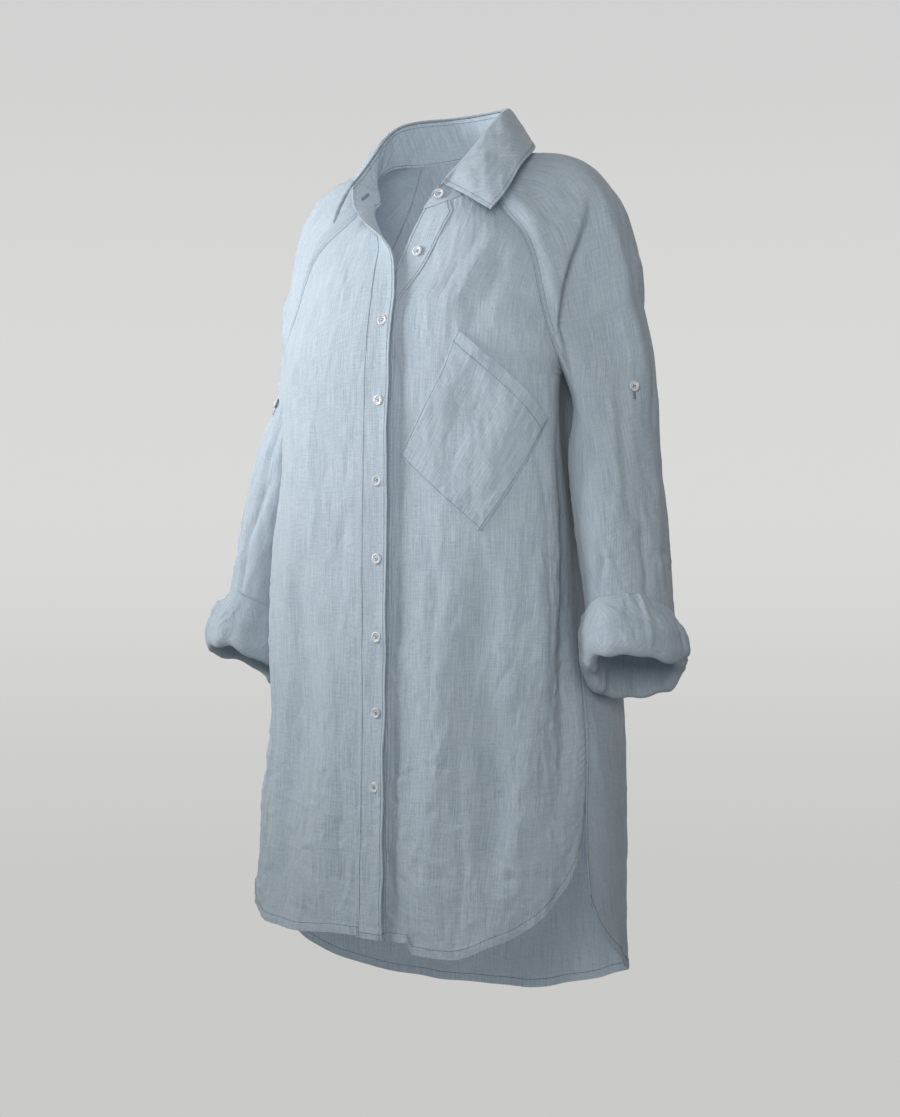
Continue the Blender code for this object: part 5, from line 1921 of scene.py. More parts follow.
@dataclass
class Sleeve:
    """A raglan sleeve: its head between the raglan seams and its tube down to the wrist."""

    side: Side
    relief: Relief
    outer_columns: int = 84
    inner_columns: int = 50
    tube_rows: int = 128
    head_rows: int = 66

    @staticmethod
    def axes(tilt_front: float, tilt_side: float) -> tuple[Array, Array, Array]:
        """The front, outward and downward directions of a tilted ring.

        Args:
            tilt_front: How far the ring's front is raised, in degrees.
            tilt_side: How far its outside is raised, in degrees.

        Returns:
            The three directions.
        """
        front_tilt, side_tilt = math.radians(tilt_front), math.radians(tilt_side)
        front = np.array([0.0, -math.cos(front_tilt), math.sin(front_tilt)])
        outward = np.array([math.cos(side_tilt), 0.0, math.sin(side_tilt)])
        return front, outward, unit(np.cross(outward, front))

    def ring(self, share: float, turns: Array) -> Array:
        """A ring of the tube. Turns run from the front over the outside to the back and on inside.

        Args:
            share: The share of the way from the armpit to the wrist.
            turns: Angles round the arm.

        Returns:
            One point for each turn.
        """
        x, y, z, half_depth, reach_out, reach_in, tilt_front, tilt_side = SLEEVE.at(share)
        front, outward, _ = self.axes(tilt_front, tilt_side)
        reach = np.where(np.sin(turns) > 0, reach_out, reach_in) * np.sin(turns)
        ring = np.array([x, y, z]) + half_depth * np.cos(turns)[:, None] * front
        return ring + reach[:, None] * outward

    def arc(self, share: float, turns: Array) -> Array:
        """An arc of the head between the front and the back raglan seams.

        Args:
            share: The share of the way up the seams.
            turns: Angles from the front over the outside to the back.

        Returns:
            One point for each turn.
        """
        front, back = RAGLANS["front"].at(share), RAGLANS["back"].at(share)
        crest = SHOULDER.at(share)
        middle = (front + back) / 2.0
        cos, sin = np.cos(turns)[:, None], np.sin(turns)[:, None]
        hollow = np.where(turns < math.pi / 2.0, HEAD_HOLLOW * np.sin(2.0 * turns) ** 2, 0.0)
        inward = unit(front + crest - 2.0 * middle)
        return middle + cos * (front - back) / 2.0 + sin * (crest - middle) - hollow[:, None] * inward

    def armpit(self, turns: Array) -> Array:
        """The ring where tube and head meet: the arc outside and the underarm seam inside.

        Args:
            turns: Angles round the arm.

        Returns:
            One point for each turn.
        """
        inside = np.clip((turns - math.pi) / math.pi, 0.0, 1.0)
        share = ARMPIT_SHARE * np.abs(1.0 - 2.0 * inside)
        back, front = RAGLANS["back"].at(share), RAGLANS["front"].at(share)
        seam = np.where((inside < 0.5)[:, None], back, front)
        return np.where((turns <= math.pi)[:, None], self.arc(ARMPIT_SHARE, turns), seam)

    def tube(self, share: float, turns: Array) -> Array:
        """A ring of the sleeve under the arm, eased into the armpit at its top."""
        ease = 1.0 - smoothstep(share / EASE_SHARE)
        return self.ring(share, turns) + ease * (self.armpit(turns) - self.ring(0.0, turns))

    def turns(self) -> tuple[Array, Array]:
        """The turns of the outer half, and those of the whole ring.

        Returns:
            The two sets of angles.
        """
        outer = np.linspace(0.0, math.pi, self.outer_columns)
        inner = np.linspace(math.pi, 2.0 * math.pi, self.inner_columns)[1:-1]
        return outer, np.concatenate([outer, inner])

    def height(self, turns: Array, down: Array) -> Array:
        """The relief at a turn and a length down from the armpit."""
        return height_round_arm(self.relief, turns, down, 1.5)

    def sheets(self) -> list[Sheet]:
        """The creased tube and head, as on the wearer's left.

        Returns:
            The tube's and the head's sheets.
        """
        outer, turns = self.turns()
        shares = np.linspace(0.0, 1.0, self.tube_rows)
        tube = Sheet(np.array([self.tube(share, turns) for share in shares]), wrap=True)
        names = ("left raglan", "left back raglan")
        if self.side is Side.RIGHT:
            names = ("right raglan", "right back raglan")
        start_at, end_at = (NECK_PLACES[name] for name in names)
        neck = self.side.mirrored(NECK.at(start_at + (end_at - start_at) * outer / math.pi))
        to_neck = neck - self.arc(1.0, outer)
        rises = np.linspace(1.0, ARMPIT_SHARE, self.head_rows)
        head = [self.arc(s, outer) + smoothstep((s - 0.5) / 0.5) * to_neck for s in rises]
        head = Sheet(np.array(head), level=self.head_rows - 1)
        tube_out, head_out = tube.normals(), head.normals()
        head_out[-1] = tube_out[0, : len(outer)]
        tube_down = shares[:, None] * SLEEVE_LENGTH + np.zeros_like(turns)
        head_down = (ARMPIT_SHARE - rises)[:, None] / (1.0 - ARMPIT_SHARE) * HEAD_LENGTH
        head_down = head_down + np.zeros_like(outer)
        to_seam = np.minimum(outer, math.pi - outer) * 0.055
        head_height = self.height(outer + 0.0 * head_down, head_down) * smoothstep(to_seam / 0.014)
        head_height *= 0.1 + 0.9 * smoothstep((head_down + HEAD_LENGTH) / 0.03)
        head_height += SLEEVE_SEAM_GATHERS.height(to_seam, head_down)
        tube_height = self.height(turns + 0.0 * tube_down, tube_down)
        pinned = np.full(len(turns), 1.0)
        pinned[: len(outer)] = smoothstep(to_seam / 0.014)
        pinned[len(outer) :] = 0.0
        free = smoothstep(tube_down / 0.02)
        tube_height = tube_height * (pinned + (1.0 - pinned) * free)
        outer_down = tube_down[:, : len(outer)]
        gathers = SLEEVE_SEAM_GATHERS.height(to_seam, outer_down)
        tube_height[:, : len(outer)] += gathers * (1.0 - smoothstep(outer_down / 0.04))
        tube_height *= 1.0 - 0.8 * smoothstep((tube_down - SLEEVE_LENGTH + 0.05) / 0.03)
        made = [tube.raised(tube_height, tube_out), head.raised(head_height, head_out)]
        for column, name in ((0, "front"), (-1, "back")):
            made[1].points[:, column] += seam_points(name, rises)
        return [replace(sheet, points=self.side.mirrored(sheet.points)) for sheet in made]

    def spot(self, share: float, degrees: float) -> tuple[Array, Array, Array]:
        """A point of the sleeve's outer face, its normal and the way down.

        Args:
            share: The share of the way from the armpit to the wrist.
            degrees: The turn from the front.

        Returns:
            The point, the normal and the way down.
        """
        turns = np.radians(degrees + np.array([0.0, 4.0]))
        here, beside = self.tube(share, turns)
        below = self.tube(share + 0.02, turns)[0]
        outward = unit(np.cross(below - here, beside - here))
        rise = float(self.height(turns[:1], np.array([share * SLEEVE_LENGTH]))[0])
        place = here + outward * rise
        return self.side.mirrored(place), self.side.mirrored(outward), self.side.mirrored(unit(below - here))

    def build(self, bench: Bench, buttons: ButtonSet, holes: Sewing) -> list[Sheet]:
        """Makes the sleeve with its seams and sews its button on, and returns its sheets.

        Args:
            bench: What it is dressed with.
            buttons: The set its button joins.
            holes: The sewing its buttonhole joins.

        Returns:
            The tube's and the head's sheets.
        """
        sheets = self.sheets()
        right = self.side is Side.RIGHT
        name = "sleeve_" + self.side.label
        obj = cloth_shell(name + "_cloth", sheets, SHELL, (bench.linen, bench.inside), flip=right)
        tube_cut, head_cut = (sheet.cut() for sheet in sheets)
        cut = (
            max(tube_cut[0], head_cut[0]),
            tube_cut[1] + head_cut[1],
            tube_cut[2] + head_cut[2],
        )
        bench.cloth(obj, name, cut)
        sewing = Sewing()
        sewing.run_down_sides(sheets[1], SLEEVE_STITCH)
        bench.sewn(sewing, "stitches_" + name)
        point, outward, below = self.spot(*SLEEVE_BUTTON[self.side.label])
        buttons.sew(point + outward * SLEEVE_BUTTON_LIFT, outward)
        holes.run(*buttonhole(point + below * SLEEVE_HOLE_DROP, below, outward, SLEEVE_HOLE_HALF))
        return sheets


@dataclass
class Cuff:
    """A sleeve end turned up twice into one soft roll, whose layers show as lines in its mouth."""

    sleeve: Sleeve
    relief: Relief
    seed: int
    # Where the lip and the top edge hang lower or higher: turn and reach in degrees, distance down.
    lip_sags: tuple[tuple[float, float, float], ...]
    top_sags: tuple[tuple[float, float, float], ...]
    columns: int = 240
    steps: int = 96
    # The roll's outline by distance down the arm from the sleeve's end and out from its surface.
    roll: tuple[tuple[float, float], ...] = (
        (0.0008, 0.0009),
        (-0.0200, 0.0009),
        (-0.0360, 0.0009),
        (-0.0404, 0.0011),
        (-0.0412, 0.0021),
        (-0.0405, 0.0033),
        (-0.0330, 0.0060),
        (-0.0200, 0.0092),
        (-0.0060, 0.0118),
        (0.0080, 0.0114),
        (0.0190, 0.0080),
        (0.0236, 0.0026),
        (0.0214, -0.0026),
        (0.0120, -0.0048),
        (0.0000, -0.0052),
        (-0.0140, -0.0052),
        (-0.0260, -0.0048),
        (-0.0270, -0.0036),
        (-0.0240, -0.0026),
        (-0.0100, -0.0020),
        (0.0009, -0.0018),
    )

    def profile(self) -> Array:
        """The roll's closed outline, evenly stepped.

        Returns:
            Rows of distance down and out.
        """
        rows = np.array([*self.roll, self.roll[0]])
        lengths = np.concatenate([[0.0], np.cumsum(np.linalg.norm(np.diff(rows, axis=0), axis=1))])
        return Curve(lengths, rows).at(np.linspace(0.0, lengths[-1], self.steps + 1)[:-1])

    def place(self, turns: Array, down: Array, out: Array) -> Array:
        """A ring of points at distances down and out, as on the wearer's left.

        Args:
            turns: Angles round the arm.
            down: Distances down from the sleeve's end.
            out: Distances out from its surface.

        Returns:
            One point for each turn.
        """
        down_axis = Sleeve.axes(*SLEEVE.at(1.0)[-2:])[2]
        up_arm = float(np.minimum(down, 0.0).mean())
        rings = self.sleeve.tube(1.0 + up_arm / SLEEVE_LENGTH, turns)
        outward = unit(rings - rings.mean(axis=0))
        return rings + outward * out[:, None] + down_axis * (down - up_arm)[:, None]

    @staticmethod
    def sag(turns: Array, sags: tuple) -> Array:
        """How far an edge hangs below its even place all round.

        Args:
            turns: Angles round the arm.
            sags: Rows of middle and reach in degrees and of distance.

        Returns:
            One distance for each turn.
        """
        total = np.zeros_like(turns)
        for middle, reach, distance in sags:
            off = (turns - math.radians(middle) + math.pi) % (2.0 * math.pi) - math.pi
            total += distance * np.exp(-((off / math.radians(reach)) ** 2))
        return total

    def grid(self) -> Array:
        """The creased roll: rows along its outline, columns round the arm.

        Returns:
            The roll's points.
        """
        turns = np.linspace(0.0, 2.0 * math.pi, self.columns, endpoint=False)
        draw = np.random.default_rng(self.seed)
        phase = draw.uniform(0.0, ABOUT_A_TURN, 6)
        wave = np.sin(3.0 * turns + phase[0]) + 0.7 * np.sin(5.0 * turns + phase[1] + np.sin(2.0 * turns))
        lip = 0.0019 * wave + 0.0012 * np.sin(9.0 * turns + phase[2]) + self.sag(turns, self.lip_sags)
        top = 0.0012 * np.sin(2.0 * turns + phase[3]) + 0.0009 * np.sin(7.0 * turns + phase[4])
        top = top + self.sag(turns, self.top_sags)
        puff = 1.0 + 0.09 * np.sin(4.0 * turns + phase[5]) + 0.05 * np.sin(11.0 * turns + phase[1])
        profile = self.profile()
        rows = []
        for down, out in profile:
            low, high = smoothstep((down + 0.004) / 0.022), smoothstep(-(down + 0.018) / 0.018)
            puffed = out * puff if out > 0.002 else np.full_like(puff, out)
            rows.append(self.place(turns, down + low * lip + high * top, puffed))
        points = np.array(rows)
        closed = Sheet(np.concatenate([points[-1:], points, points[:1]]), wrap=True)
        outward = closed.normals()[1:-1]
        down, out = (column[:, None] for column in profile.T)
        along = down + 0.0 * turns
        around = turns[None] + 0.0 * along
        height = height_round_arm(self.relief, around, along, 1.6) * smoothstep((out - 0.0015) / 0.0030)
        layers = MOUTH_RELIEF.height(around * ARM_RADIUS, along)
        height = height + layers * smoothstep(-(out + 0.0006) / 0.0016)
        return self.sleeve.side.mirrored(points + outward * height[..., None])

    def build(self, bench: Bench) -> None:
        """Makes the rolled cuff.

        Args:
            bench: What it is dressed with.
        """
        grid = self.grid()
        side = self.sleeve.side
        name = "cuff_" + side.label
        closed = Sheet(np.concatenate([grid, grid[:1]]), wrap=True)
        faces, flat = sheet_faces(closed, 0, flip=side is Side.RIGHT)
        count = grid.shape[0] * grid.shape[1]
        faces = [[index % count for index in face] for face in faces]
        obj = new_object(name + "_cloth", grid.reshape(-1, 3).tolist(), [], faces, bench.linen)
        set_flat_map(obj, flat)
        obj.data.shade_smooth()
        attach(obj, "root")
        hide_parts(name)
        LOG.info("%s: rolled", name)


@dataclass
class Collar:
    """The stand with round ends and the fall with its points."""

    stand_relief: Relief
    fall_relief: Relief
    steps: int = 230
    stand_rows: int = 22
    fall_rows: int = 46
    bulge: float = 0.0020

    @staticmethod
    def stand_point(places: Array, rise: Array) -> Array:
        """The stand's outer face at places along the neck seam and a rise from seam to fold.

        Args:
            places: Places along the neck seam.
            rise: The share of the way up to the fold.

        Returns:
            One point for each place.
        """
        seam = NECK.at(places)
        ahead = unit(NECK.at(places + 0.002) - NECK.at(places - 0.002))
        from_end = np.minimum(places, NECK.places[-1] - places)
        way = np.where(places < NECK.places[-1] / 2.0, -1.0, 1.0)
        fade = 1.0 - smoothstep(from_end / STAND_END_REACH)
        reach = way * STAND_END_ROUND * 4.0 * rise * (1.0 - rise) * fade
        return seam + (FOLD.at(places) - seam) * rise + ahead * reach[..., None]

    def places(self) -> Array:
        """Places along the neck seam."""
        return np.linspace(0.0, NECK.places[-1], self.steps)

    def stand(self) -> Sheet:
        """The stand from its fold down to the neck seam.

        Returns:
            The sheet.
        """
        places = self.places()
        rises = np.linspace(1.0, -0.030, self.stand_rows)
        sheet = Sheet(np.array([self.stand_point(places, rise) for rise in rises]))
        down = (1.0 - rises)[:, None] * STAND_HEIGHT + np.zeros_like(places)
        height = self.stand_relief.height(places + 0.0 * down, down)
        height += STAND_SEAM_GATHERS.height(down - STAND_HEIGHT, places + 0.0 * down)
        return sheet.raised(height)

    def fall(self, carriers: list[Array]) -> Sheet:
        """The fall: over the stand's top, then out and down to its free edge, clear of the body.

        Args:
            carriers: The grids of the sheets it lies on.

        Returns:
            The sheet.
        """
        places = self.places()
        ahead = unit(FOLD.at(places + 0.002) - FOLD.at(places - 0.002))
        rise = FOLD.at(places) - NECK.at(places)
        up = unit(rise - ahead * (rise * ahead).sum(-1, keepdims=True))
        out = np.cross(ahead, up)
        fold, edge = FOLD.at(places), EDGE.at(places)
        roll = np.array(FALL_ROLL)
        turned = Curve([0.0, 1.0, 2.0], roll).at(np.linspace(0.0, 2.0, 7))
        rows = [fold + out * o + up * u for o, u in turned]
        shoulder = rows[-1]
        for share in np.linspace(0.0, 1.0, self.fall_rows)[1:]:
            bow = self.bulge * 4.0 * share * (1.0 - share)
            rows.append(shoulder + (edge - shoulder) * share + (out + up) * bow)
        grid = np.array(rows)
        free = grid[len(turned) :].reshape(-1, 3)
        grid[len(turned) :] = self.lifted(free, carriers).reshape(grid[len(turned) :].shape)
        sheet = Sheet(grid)
        down = sheet.heights()
        along = places + 0.0 * down
        height = self.fall_relief.height(along, down)
        to_edge = np.minimum(down[-1:] - down, np.minimum(along, NECK.places[-1] - along))
        height += 0.0005 * (1.0 - smoothstep((to_edge - 0.0030) / 0.0020))
        height += FALL_EDGE_GATHERS.height(np.abs(to_edge - 0.004), along + down)
        return sheet.raised(height * smoothstep(down / 0.012))

    @staticmethod
    def lifted(points: Array, carriers: list[Array]) -> Array:
        """Points moved out wherever they come too close to the sheets that carry them.

        Args:
            points: The points.
            carriers: The grids of the sheets.

        Returns:
            The points after the move.
        """
        sheets = [Sheet(grid[::3, ::3]) for grid in carriers]
        base = np.concatenate([sheet.points.reshape(-1, 3) for sheet in sheets])
        normals = np.concatenate([sheet.normals().reshape(-1, 3) for sheet in sheets])
        moved = points.copy()
        for first in range(0, len(points), 400):
            block = points[first : first + 400]
            ways = np.linalg.norm(block[:, None] - base[None], axis=-1)
            near = ways.argmin(1)
            gap = ((block - base[near]) * normals[near]).sum(1)
            close = smoothstep((0.016 - ways.min(1)) / 0.006)
            rise = np.maximum(FALL_CLEARANCE - gap, 0.0) * close
            moved[first : first + 400] += normals[near] * rise[:, None]
        return moved

    def build(self, bench: Bench, carriers: list[Array], buttons: ButtonSet, holes: Sewing) -> None:
        """Makes the stand and the fall with their stitch lines, button and buttonhole.

        Args:
            bench: What it is dressed with.
            carriers: The grids the fall lies on.
            buttons: The set its button joins.
            holes: The sewing its buttonhole joins.
        """
        stand, fall = self.stand(), self.fall(carriers)
        for sheet, name, on in ((stand, "collar_stand", "back"), (fall, "collar_fall", "collar_stand")):
            obj = cloth_shell(name + "_cloth", [sheet], DOUBLE_SHELL, (bench.linen, bench.inside))
            bench.cloth(obj, name, sheet.cut())
        sewing = Sewing()
        sewing.run(fall.line_across(FALL_STITCH))
        sewing.run_down_sides(fall, FALL_STITCH)
        sewing.run(stand.line_across(SEAM_STITCH))
        sewing.run(stand.line_across(SEAM_STITCH, lift=-DOUBLE_SHELL - STITCH_LIFT))
        sewing.run(stand.line_across(FOLD_STITCH, from_top=True, lift=-DOUBLE_SHELL - STITCH_LIFT))
        bench.sewn(sewing, "stitches_collar")
        point, _, outward = self.stand_frame(*STAND_BUTTON)
        buttons.sew(point + outward * STAND_BUTTON_LIFT, outward)
        middle, ahead, outward = self.stand_frame(NECK.places[-1] - STAND_HOLE[0], STAND_HOLE[1])
        middle = middle - outward * (DOUBLE_SHELL + STITCH_LIFT)
        holes.run(*buttonhole(middle, unit(ahead), -outward, STAND_HOLE_HALF))

    def stand_frame(self, place: float, rise: float) -> tuple[Array, Array, Array]:
        """A point of the stand's outer face, the way along the stand there, and its normal.

        Args:
            place: The place along the neck seam.
            rise: The share of the way up to the fold.

        Returns:
            The point, the way along and the normal.
        """
        places, rises = np.array([place, place + 0.002, place]), np.array([rise, rise, rise - 0.05])
        point, beside, below = (self.stand_point(places[[k]], rises[[k]])[0] for k in range(3))
        along, down = beside - point, below - point
        return point, along, unit(np.cross(down, along))


@dataclass
class Pocket:
    """The patch pocket set askew on the left front, open along its upper right edge."""

    front: Front
    relief: Relief
    steps: int = 96
    gape: float = 0.0065

    def sheet(self) -> Sheet:
        """The creased pocket, standing off the front along its opening.

        Returns:
            The sheet.
        """
        top, foot, outer, inner = (np.array(row[1:]) for row in POCKET_CORNERS)
        steps = np.linspace(0.0, 1.0, self.steps)
        along, down = (values[..., None] for values in np.meshgrid(steps, steps))
        opening = top + (foot - top) * along
        bottom = inner + (outer - inner) * along
        across, z = np.moveaxis(opening + (bottom - opening) * down, -1, 0)
        a, d = along[..., 0], down[..., 0]
        stand = self.gape * smoothstep(1.0 - 2.2 * d) * (1.0 - (2.0 * a - 1.0) ** 2)
        stand = stand * (1.0 + 0.25 * np.sin(9.0 * a + 1.0))
        height = self.front.relief.height(across, z) + POCKET_LIFT + stand
        height += self.relief.height(a * 0.126, d * 0.135)
        to_side = np.minimum(np.minimum(a * 0.126, (1.0 - a) * 0.126), (1.0 - d) * 0.135)
        height += POCKET_EDGE_GATHERS.height(to_side - 0.003, (a + d) * 0.13)
        height -= (POCKET_LIFT - SHELL - 0.0008) * (1.0 - smoothstep(to_side / 0.004)) * (d > 0.02)
        return Sheet(self.front.surface(across, z, height))

    def build(self, bench: Bench) -> None:
        """Makes the pocket with its seams.

        Args:
            bench: What it is dressed with.
        """
        sheet = self.sheet()
        obj = cloth_shell("pocket_cloth", [sheet], SHELL, (bench.linen, bench.inside))
        bench.cloth(obj, "pocket", sheet.cut())
        sewing = Sewing()
        sewing.run_down_sides(sheet, POCKET_STITCH)
        sewing.run(sheet.line_across(POCKET_STITCH))
        sewing.run(sheet.line_across(POCKET_HEM_STITCH, from_top=True))
        bench.sewn(sewing, "stitches_pocket")


# ---------------------------------------------------------------- folds as they lie

# Places on a front are the distance across from the centre front and the height; on the back, the
# distance across from its middle and the height; on a sleeve, the way round from its front and down
# from the armpit; on a roll, the same round and the way down the arm.
LEFT_FRONT_RELIEF = Relief(
    folds=(
        Crease((0.092, -0.42), (0.136, -0.78), 0.020, -0.0105),
        Crease((0.060, -0.46), (0.072, -0.86), 0.024, 0.0050),
        Crease((0.164, -0.40), (0.168, -0.72), 0.016, 0.0052),
        Crease((0.120, -0.10), (0.092, -0.20), 0.020, -0.0030),
        Crease((0.050, -0.38), (0.060, -0.60), 0.008, -0.0022, 0.03, 0.4),
        Crease((0.112, -0.44), (0.118, -0.72), 0.007, 0.0022, -0.03, 0.5),
        Crease((0.150, -0.30), (0.172, -0.56), 0.009, -0.0026, 0.04, 0.4),
        Crease((0.198, -0.30), (0.196, -0.70), 0.014, -0.0075, 0.02, 0.2),
        Crease((0.105, -0.080), (0.070, -0.175), 0.007, 0.0013, 0.05, 0.4),
        Crease((0.088, -0.085), (0.056, -0.165), 0.006, -0.0012, 0.04, 0.4),
        Crease((0.125, -0.110), (0.085, -0.210), 0.009, -0.0012, 0.04, 0.4),
        Crease((0.036, -0.60), (0.046, -0.80), 0.008, 0.0020, -0.04, 0.5),
        Crease((0.084, -0.56), (0.096, -0.83), 0.007, -0.0022, 0.03, 0.5),
        Crease((0.136, -0.60), (0.156, -0.79), 0.008, 0.0024, 0.05, 0.5),
    ),
    crumples=(
        Crumple(11, 90, (0.0, 0.22), (-0.84, -0.55), 0.0015, (0.026, 0.08), (0.0022, 0.0048), (62, 118)),
        Crumple(17, 80, (0.0, 0.22), (-0.84, -0.64), 0.0012, (0.018, 0.05), (0.0022, 0.004), (-36, 36)),
        Crumple(12, 70, (0.02, 0.2), (-0.58, -0.36), 0.0012, (0.018, 0.06), (0.0026, 0.006), (62, 118)),
        Crumple(13, 44, (0.03, 0.17), (-0.34, -0.06), 0.0007, (0.018, 0.06), (0.0026, 0.006), (60, 120)),
        Crumple(14, 56, (0.16, 0.23), (-0.8, -0.45), 0.0015, (0.012, 0.045), (0.0026, 0.006), (-45, 25)),
    ),
    swells=(Swell(15, 0.0011, 0.078, 2.8), Swell(16, 0.0003, 0.016, 2.4)),
)
RIGHT_FRONT_RELIEF = Relief(
    folds=(
        Crease((0.086, -0.42), (0.132, -0.86), 0.022, -0.0095),
        Crease((0.160, -0.36), (0.172, -0.78), 0.020, 0.0052),
        Crease((0.050, -0.50), (0.060, -0.84), 0.018, 0.0030),
        Crease((0.110, -0.10), (0.150, -0.26), 0.022, -0.0030),
        Crease((0.030, -0.36), (0.044, -0.56), 0.008, -0.0018, 0.03, 0.4),
        Crease((0.074, -0.24), (0.070, -0.44), 0.010, 0.0018, 0.04, 0.3),
        Crease((0.120, -0.44), (0.106, -0.68), 0.008, 0.0024, -0.04, 0.5),
        Crease((0.070, -0.54), (0.080, -0.80), 0.007, -0.0020, 0.03, 0.5),
        Crease((0.040, -0.62), (0.030, -0.80), 0.007, -0.0020, 0.03, 0.5),
        Crease((0.150, -0.58), (0.162, -0.80), 0.008, -0.0024, 0.02, 0.5),
    ),
    crumples=(
        Crumple(21, 90, (0.0, 0.22), (-0.83, -0.55), 0.0015, (0.026, 0.08), (0.0022, 0.0048), (62, 118)),
        Crumple(27, 80, (0.0, 0.22), (-0.83, -0.64), 0.0012, (0.018, 0.05), (0.0022, 0.004), (-36, 36)),
        Crumple(22, 80, (0.02, 0.2), (-0.58, -0.3), 0.0012, (0.018, 0.06), (0.0026, 0.006), (62, 118)),
        Crumple(23, 46, (0.03, 0.17), (-0.3, -0.07), 0.0008, (0.018, 0.06), (0.0026, 0.006), (60, 120)),
        Crumple(24, 46, (0.16, 0.23), (-0.8, -0.45), 0.0014, (0.012, 0.045), (0.0026, 0.006), (-45, 25)),
    ),
    swells=(Swell(25, 0.0011, 0.078, 2.8), Swell(26, 0.0003, 0.016, 2.4)),
)
BACK_RELIEF = Relief(
    folds=(
        Crease((-0.080, -0.10), (-0.115, -0.92), 0.028, -0.0065),
        Crease((0.070, -0.12), (0.105, -0.94), 0.028, -0.0065),
        Crease((-0.012, -0.26), (-0.006, -0.94), 0.034, 0.0060),
        Crease((0.172, -0.30), (0.186, -0.88), 0.028, 0.0045),
        Crease((-0.178, -0.28), (-0.190, -0.88), 0.028, 0.0045),
        Crease((-0.040, -0.20), (-0.058, -0.46), 0.010, -0.0024, 0.03, 0.4),
        Crease((0.034, -0.30), (0.048, -0.62), 0.011, -0.0026, -0.03, 0.4),
        Crease((0.130, -0.18), (0.150, -0.44), 0.010, 0.0024, 0.04, 0.4),
        Crease((-0.134, -0.20), (-0.148, -0.50), 0.010, 0.0024, -0.04, 0.4),
        Crease((0.080, -0.54), (0.060, -0.82), 0.010, 0.0022, 0.03, 0.4),
        Crease((-0.090, -0.58), (-0.066, -0.84), 0.009, -0.0022, 0.04, 0.5),
    ),
    crumples=(
        Crumple(31, 150, (-0.22, 0.22), (-0.92, -0.52), 0.0012, (0.014, 0.05), (0.0034, 0.0065), (50, 130)),
        Crumple(37, 90, (-0.22, 0.22), (-0.92, -0.68), 0.001, (0.012, 0.036), (0.0034, 0.006), (-40, 40)),
        Crumple(32, 110, (-0.18, 0.18), (-0.54, -0.2), 0.0009, (0.02, 0.06), (0.0034, 0.0065), (60, 120)),
        Crumple(33, 50, (-0.14, 0.14), (-0.22, 0.0), 0.0007, (0.02, 0.06), (0.0034, 0.0065), (50, 130)),
    ),
    swells=(Swell(35, 0.0014, 0.085, 2.6), Swell(36, 0.0003, 0.018, 2.2)),
)
SLEEVE_FOLDS = {
    Side.LEFT: (
        Pleat((0.000, 0.040), (0.067, -0.140), 0.032, -0.0145, -0.030),
        Crease((-0.006, 0.020), (0.055, -0.140), 0.016, 0.0022, -0.030),
        Crease((0.094, -0.180), (0.098, -0.040), 0.032, -0.0050),
        Crease((0.086, -0.150), (0.082, 0.060), 0.012, 0.0030, 0.03, 0.2),
        Crease((0.020, -0.200), (0.012, -0.060), 0.008, 0.0020, 0.05, 0.4),
        Crease((0.040, -0.215), (0.030, -0.110), 0.009, -0.0022, 0.05, 0.4),
        Crease((0.058, -0.020), (0.052, 0.210), 0.009, -0.0024, 0.03, 0.4),
        Crease((0.100, -0.090), (0.098, 0.140), 0.010, -0.0024, 0.03, 0.4),
        Crease((0.034, 0.030), (0.032, 0.230), 0.009, 0.0024, -0.03, 0.4),
        Crease((0.100, 0.060), (0.086, 0.280), 0.011, 0.0030, 0.04, 0.3),
        Crease((0.060, 0.175), (0.055, 0.290), 0.006, -0.0034, -0.03, 0.5),
        Crease((0.014, 0.225), (-0.008, 0.300), 0.006, -0.0040, 0.05, 0.5),
        Crease((0.128, -0.080), (0.134, 0.180), 0.014, -0.0034, 0.04, 0.3),
        Crease((0.150, 0.060), (0.140, 0.280), 0.011, 0.0032, -0.04, 0.3),
        Crease((0.236, 0.040), (0.230, 0.260), 0.014, -0.0030, 0.04, 0.3),
        Crease((0.068, 0.232), (0.110, 0.222), 0.006, -0.0018, -0.12, 0.6),
    ),
    Side.RIGHT: (
        Crease((0.056, -0.050), (0.056, 0.050), 0.034, 0.0078),
        Crease((0.030, -0.200), (0.022, 0.020), 0.016, -0.0026, 0.05),
        Crease((0.060, -0.140), (0.050, 0.100), 0.013, 0.0028, 0.04, 0.2),
        Crease((0.014, -0.020), (0.010, 0.200), 0.010, -0.0030, 0.04, 0.4),
        Crease((0.038, 0.040), (0.030, 0.280), 0.009, 0.0028, -0.03, 0.4),
        Crease((0.088, -0.120), (0.092, 0.120), 0.013, -0.0034, 0.03, 0.3),
        Crease((0.104, 0.020), (0.086, 0.280), 0.012, 0.0034, 0.04, 0.3),
        Crease((-0.010, 0.120), (0.004, 0.285), 0.008, -0.0034, -0.05, 0.5),
        Crease((0.034, 0.190), (0.058, 0.285), 0.008, -0.0030, 0.08, 0.5),
        Crease((0.128, -0.080), (0.134, 0.180), 0.014, -0.0036, 0.04, 0.3),
        Crease((0.236, 0.040), (0.230, 0.260), 0.014, -0.0030, 0.04, 0.3),
    ),
}


